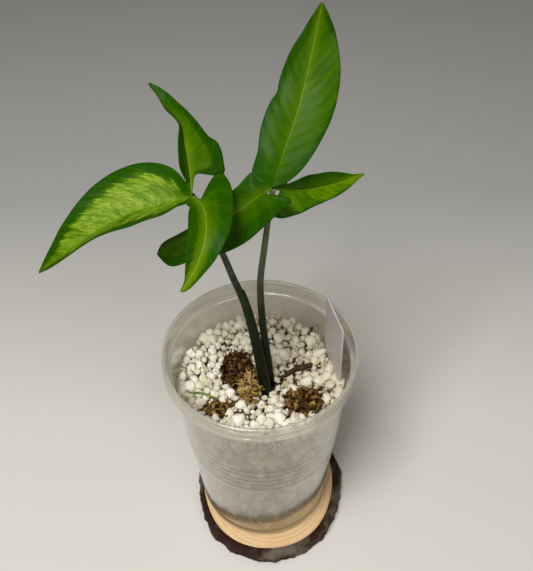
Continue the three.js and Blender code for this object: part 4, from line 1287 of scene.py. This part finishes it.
def leaf_material(name, dark, mid, light, pale, gloss):
    """Leaf skin: satin, dark at the margin, lighter in blotches that run along the veins."""
    made, tree = new_material(name)
    tone = node(tree, "ShaderNodeAttribute", attribute_name="leaf_tone")
    channels = node(tree, "ShaderNodeSeparateColor", {0: tone.outputs["Color"]})
    lightness, band, inside_reach = channels.outputs
    across_and_along = node(tree, "ShaderNodeUVMap", uv_map="veins_mm")
    # This map is in millimetres: x across the lobe, y along its midrib.
    stretched = node(tree, "ShaderNodeMapping", {"Vector": across_and_along, "Scale": (0.11, 0.3, 1)})
    feathers = node(
        tree,
        "ShaderNodeTexNoise",
        {"Vector": stretched, "Scale": 1, "Detail": 4, "Roughness": 0.65},
        noise_dimensions="2D",
    )
    flecked = node(tree, "ShaderNodeMapping", {"Vector": across_and_along, "Scale": (0.55, 0.9, 1)})
    flecks = node(
        tree,
        "ShaderNodeTexNoise",
        {"Vector": flecked, "Scale": 1, "Detail": 5, "Roughness": 0.75},
        noise_dimensions="2D",
    )
    feathery = node(
        tree, "ShaderNodeMath", {0: feathers, 1: 0.25, 2: inside_reach}, operation="MULTIPLY_ADD"
    )
    ragged = node(tree, "ShaderNodeMath", {0: flecks, 1: 0.3, 2: feathery}, operation="MULTIPLY_ADD")
    in_patch = node(
        tree,
        "ShaderNodeMapRange",
        {"Value": ragged, "From Min": 0.68, "From Max": 0.88},
        interpolation_type="SMOOTHSTEP",
    )
    patch_light = node(tree, "ShaderNodeMath", {0: in_patch, 1: lightness}, operation="MULTIPLY")
    feathered = node(
        tree,
        "ShaderNodeMapRange",
        {"Value": feathers, "From Min": 0.3, "From Max": 0.7, "To Min": 0.55, "To Max": 1.15},
    )
    amount = node(tree, "ShaderNodeMath", {0: patch_light, 1: feathered}, operation="MULTIPLY")
    margin_to_mid = node(
        tree, "ShaderNodeMix", {0: feathers, 6: linear(dark), 7: linear(mid)}, data_type="RGBA"
    )
    lit = node(tree, "ShaderNodeMix", {0: amount, 6: margin_to_mid, 7: linear(light)}, data_type="RGBA")
    fleck_here = node(tree, "ShaderNodeMapRange", {"Value": flecks, "From Min": 0.36, "From Max": 0.62})
    very_light = node(tree, "ShaderNodeMapRange", {"Value": amount, "From Min": 0.55, "From Max": 1.0})
    pale_share = node(tree, "ShaderNodeMath", {0: fleck_here, 1: very_light}, operation="MULTIPLY")
    paled = node(tree, "ShaderNodeMix", {0: pale_share, 6: lit, 7: linear(pale)}, data_type="RGBA")
    banded = node(tree, "ShaderNodeMix", {0: band, 6: paled, 7: linear("#648000")}, data_type="RGBA")
    # Side veins lie 5.5 mm apart, as soft furrows between slightly raised panels.
    split = node(tree, "ShaderNodeSeparateXYZ", {0: across_and_along})
    wobble = node(
        tree, "ShaderNodeMath", {0: feathers, 1: 1.2, 2: split.outputs[1]}, operation="MULTIPLY_ADD"
    )
    turns = node(tree, "ShaderNodeMath", {0: wobble, 1: 2 * math.pi / 5.5}, operation="MULTIPLY")
    vein_wave = node(tree, "ShaderNodeMath", {0: turns}, operation="COSINE")
    vein_line = node(
        tree,
        "ShaderNodeMapRange",
        {"Value": vein_wave, "From Min": 0.75, "From Max": 1.0, "To Max": 0.1},
        interpolation_type="SMOOTHSTEP",
    )
    veined = node(
        tree, "ShaderNodeMix", {0: vein_line, 6: banded, 7: linear("#4e7400")}, data_type="RGBA"
    )
    # The midrib shows as a thin pale line, strongest where the band beside it is light.
    to_midrib = node(tree, "ShaderNodeMath", {0: split.outputs[0], 1: 100}, operation="PINGPONG")
    on_midrib = node(tree, "ShaderNodeMapRange", {"Value": to_midrib, "From Min": 0.4, "From Max": 0.1})
    midrib_share = node(tree, "ShaderNodeMath", {0: on_midrib, 1: band}, operation="MULTIPLY")
    with_midrib = node(
        tree, "ShaderNodeMix", {0: midrib_share, 6: veined, 7: linear("#7b9438")}, data_type="RGBA"
    )
    furrows = node(tree, "ShaderNodeMath", {0: vein_wave, 1: -0.5, 2: flecks}, operation="MULTIPLY_ADD")
    relief = node(tree, "ShaderNodeBump", {"Height": furrows, "Strength": 0.22, "Distance": 0.0005})
    shine = node(
        tree,
        "ShaderNodeMapRange",
        {"Value": flecks, "From Min": 0.3, "From Max": 0.7, "To Min": 0.24, "To Max": 0.36},
    )
    surface = node(
        tree,
        "ShaderNodeBsdfPrincipled",
        {"Base Color": with_midrib, "Roughness": shine, "Specular IOR Level": gloss, "Normal": relief},
    )
    node(tree, "ShaderNodeOutputMaterial", {"Surface": surface})
    return made


right_skin = leaf_material("leaf_skin_right", "#173c00", "#224a00", "#446800", "#668400", 0.045)
left_skin = leaf_material("leaf_skin_left", "#173c00", "#234c00", "#517600", "#8ca036", 0.03)

# The underside is duller and greyer than the upper face, with no blotches.
leaf_underside, tree = new_material("leaf_underside")
place = node(tree, "ShaderNodeTexCoord").outputs["Object"]
clouds = node(tree, "ShaderNodeTexNoise", {"Vector": place, "Scale": 1000 / 6, "Detail": 3})
under_colour = node(
    tree,
    "ShaderNodeValToRGB",
    {"Fac": clouds},
    stops=[(0.3, "#2c4a10"), (0.55, "#365816"), (0.75, "#44661f")],
)
surface = node(tree, "ShaderNodeBsdfPrincipled", {"Base Color": under_colour, "Roughness": 0.6})
node(tree, "ShaderNodeOutputMaterial", {"Surface": surface})


def half_lobe(lobe, column, t):
    """The half that a column lies in, the column's share of the way out and the width there."""
    half = lobe["left"] if column < 0 else lobe["right"]
    return half, abs(column) / HALF_COLUMNS, max(along(half["width"], t), 0)


def lobe_row(lobe, rib, face, t):
    """One row of points across a lobe, from its left margin over the midrib to its right."""
    centre = along(rib, t)
    ahead = along(rib, min(t + 1e-3, 1)) - along(rib, max(t - 1e-3, 0))
    ahead /= np.linalg.norm(ahead)
    up = along(face, t)
    up = up - ahead * up.dot(ahead)
    up /= np.linalg.norm(up)
    leftward = np.cross(up, ahead)
    height, count, shift = lobe["wave"]
    ease = min(1, 8 * t) * min(1, 5 * (1 - t))
    row = []
    for column in range(-HALF_COLUMNS, HALF_COLUMNS + 1):
        half, s, width = half_lobe(lobe, column, t)
        side = 1 if column < 0 else -1
        hook = along(half.get("hook", [VEIN_HOOK, VEIN_HOOK]), t)
        slant = math.radians(along(half["sweep"], t) + hook * s)
        fold = math.radians(along(half["fold"], t))
        curl = math.radians(along(half["curl"], t)) or 1e-3
        out = width * (math.sin(fold + curl * s) - math.sin(fold)) / curl
        lift = width * (math.cos(fold) - math.cos(fold + curl * s)) / curl
        phase = 2 * math.pi * count * t + shift * (1 if side > 0 else 2)
        lift += height * s * s * math.sin(phase) * ease
        reach = out * (side * math.cos(slant) * leftward + math.sin(slant) * ahead)
        row.append(centre + reach + lift * up)
    return np.array(row)


def join_margins(grid_a, side_a, grid_b, side_b, rows):
    """Draws the margins of two lobes together up to the sinus, and eases the halves after them."""
    sinus = (rows / SINUS_ROWS) ** ROW_EASE
    opened = ((rows + 1) / SINUS_ROWS) ** ROW_EASE
    last = 2 * HALF_COLUMNS
    for i, t in enumerate(ROW_TIMES):
        pull = min(1, max(0, (opened - t) / (opened - sinus)))
        pull = pull * pull * (3 - 2 * pull)
        if pull == 0:
            break
        margins = [grid_a[i][0 if side_a == "left" else last], grid_b[i][0 if side_b == "left" else last]]
        middle = (margins[0] + margins[1]) / 2
        moves = [middle - margins[0], middle - margins[1]]
        for grid, side, move in ((grid_a, side_a, moves[0]), (grid_b, side_b, moves[1])):
            for k in range(HALF_COLUMNS):
                column = k if side == "left" else last - k
                grid[i][column] += move * pull * (1 - k / HALF_COLUMNS) ** 2


def corner_values(lobe, number, column, t, run):
    """What the skin reads at a face's corner: its tones, and its place on the map of veins."""
    half, s, width = half_lobe(lobe, column, t)
    light = max(along(half["light"], t), 0)
    band = max(along(half["band"], t), 0) * math.exp(-((s * width / BAND_SPREAD) ** 2)) * 0.6
    inside = 0.5 + (along(half["reach"], t) - s)
    across = math.copysign(s * width, column) + LOBE_APART * number
    forward = run - VEIN_SLANT * s * width
    return light, min(band, 1), inside, across, forward


def joined_sheet(lobes, grids):
    """One sheet out of the lobes, with its faces, their corners' values and the ribs' weights."""
    sheet, rib_weights, faces, corner_data, known = [], [], [], [], {}
    for number, (key, lobe) in enumerate(lobes.items()):
        rib_points = [row[HALF_COLUMNS] for row in grids[key]]
        run = np.concatenate([[0], np.cumsum(np.linalg.norm(np.diff(rib_points, axis=0), axis=1))])
        ids, data = {}, {}
        for i, t in enumerate(ROW_TIMES):
            for c, point in enumerate(grids[key][i]):
                place = tuple(np.round(point * 1e4).astype(int))
                if place not in known:
                    known[place] = len(sheet)
                    sheet.append(point)
                    rib_weights.append(0)
                index = ids[i, c] = known[place]
                half, s, width = half_lobe(lobe, c - HALF_COLUMNS, t)
                weight = math.exp(-((s * width / MIDRIB_SPREAD) ** 2)) * (1 - 0.75 * t)
                rib_weights[index] = max(rib_weights[index], weight)
                data[i, c] = corner_values(lobe, number, c - HALF_COLUMNS, t, run[i])
        for i in range(BLADE_ROWS):
            for c in range(2 * HALF_COLUMNS):
                corners = {}
                for cell in ((i, c), (i, c + 1), (i + 1, c + 1), (i + 1, c)):
                    corners.setdefault(ids[cell], data[cell])
                if len(corners) > 2:
                    faces.append(list(corners))
                    corner_data.append(list(corners.values()))
    return np.array(sheet), faces, corner_data, np.array(rib_weights)[:, None]


def build_leaf(name, junction, lobes, joins, skin):
    """A leaf: its sheet made thick, with midribs that stand out below and sink a little above."""
    grids = {}
    for key, lobe in lobes.items():
        rib = [np.array(p, float) for p in [junction, *lobe["rib"]]]
        face = [np.array(p, float) for p in lobe["face"]]
        grids[key] = [lobe_row(lobe, rib, face, t) for t in ROW_TIMES]
    for a, side_a, b, side_b, rows in joins:
        join_margins(grids[a], side_a, grids[b], side_b, rows)
    sheet, faces, corner_data, rib_weights = joined_sheet(lobes, grids)

    flat = bpy.data.meshes.new("sheet")
    flat.from_pydata([tuple(p) for p in sheet], [], faces)
    normals = np.zeros(len(sheet) * 3)
    flat.vertices.foreach_get("normal", normals)
    normals = normals.reshape(-1, 3)
    bpy.data.meshes.remove(flat)
    upper = sheet + normals * (BLADE / 2 - MIDRIB_GROOVE * rib_weights)
    lower = sheet - normals * (BLADE / 2 + (MIDRIB - MIDRIB_GROOVE) * rib_weights)

    edges = {}
    for face, data in zip(faces, corner_data):
        for a, b, data_a, data_b in zip(face, face[1:] + face[:1], data, data[1:] + data[:1]):
            edges[a, b] = (data_a, data_b)
    count = len(sheet)
    all_faces = faces + [[i + count for i in reversed(face)] for face in faces]
    all_data = corner_data + [data[::-1] for data in corner_data]
    for (a, b), (data_a, data_b) in edges.items():
        if (b, a) not in edges:
            all_faces.append([b, a, a + count, b + count])
            all_data.append([data_b, data_a, data_a, data_b])
    blade = add_piece(name, np.concatenate([upper, lower]) / 1000, all_faces, skin)
    mesh = blade.data
    mesh.materials.append(leaf_underside)
    slots = [0] * len(faces) + [1] * len(faces) + [0] * (len(all_faces) - 2 * len(faces))
    mesh.polygons.foreach_set("material_index", slots)
    flat_data = [corner for data in all_data for corner in data]
    layer = mesh.attributes.new("leaf_tone", "FLOAT_COLOR", "CORNER")
    layer.data.foreach_set("color", [v for d in flat_data for v in (d[0], d[1], d[2], 1)])
    veins = mesh.uv_layers.new(name="veins_mm")
    veins.data.foreach_set("uv", [v for d in flat_data for v in (d[3], d[4])])
    return blade


for name, junction, lobes, joins, skin in (
    ("right", RIGHT_JUNCTION, RIGHT_LOBES, RIGHT_JOINS, right_skin),
    ("left", LEFT_JUNCTION, LEFT_LOBES, LEFT_JOINS, left_skin),
):
    leaf_blade = build_leaf(name + "_leaf_blade", junction, lobes, joins, skin)
    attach(leaf_blade, "root")
    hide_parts("leaf_" + name)

# Studio: a plain pale floor that greys towards the back, a large soft lamp at the front
# left, a weaker one at the right and an even grey sky.
floor_paint, tree = new_material("pale_floor")
place = node(tree, "ShaderNodeTexCoord").outputs["Object"]
ahead = node(tree, "ShaderNodeSeparateXYZ", {0: place})
behind = node(
    tree, "ShaderNodeMapRange", {"Value": ahead.outputs["Y"], "From Min": 0.05, "From Max": 0.3}
)
floor_colour = node(
    tree, "ShaderNodeMix", {0: behind, 6: linear("#d6d2c8"), 7: linear("#b2b0ab")}, data_type="RGBA"
)
surface = node(tree, "ShaderNodeBsdfPrincipled", {"Base Color": floor_colour, "Roughness": 0.9})
node(tree, "ShaderNodeOutputMaterial", {"Surface": surface})
reach = 3.0
corners = [(-reach, -reach, 0), (reach, -reach, 0), (reach, reach, 0), (-reach, reach, 0)]
floor = add_piece("studio_floor", corners, [(0, 1, 2, 3)], floor_paint)

for name, place, size, watts in (
    ("key_lamp", (-0.25, -0.4, 1.0), 0.4, 10.5),
    ("fill_lamp", (0.5, -0.8, 0.5), 0.6, 2.2),
):
    lamp_data = bpy.data.lights.new(name, "AREA")
    lamp_data.size = size
    lamp_data.energy = watts
    lamp = bpy.data.objects.new(name, lamp_data)
    scene.collection.objects.link(lamp)
    lamp.location = place
    aim = Vector((0, 0, 0.14)) - Vector(place)
    lamp.rotation_mode = "QUATERNION"
    lamp.rotation_quaternion = aim.to_track_quat("-Z", "Y")

world = bpy.data.worlds.new("studio")
world.use_nodes = True
world.node_tree.nodes["Background"].inputs["Color"].default_value = linear("#e6e6e4")
world.node_tree.nodes["Background"].inputs["Strength"].default_value = 0.22
scene.world = world
scene.view_settings.view_transform = "Standard"
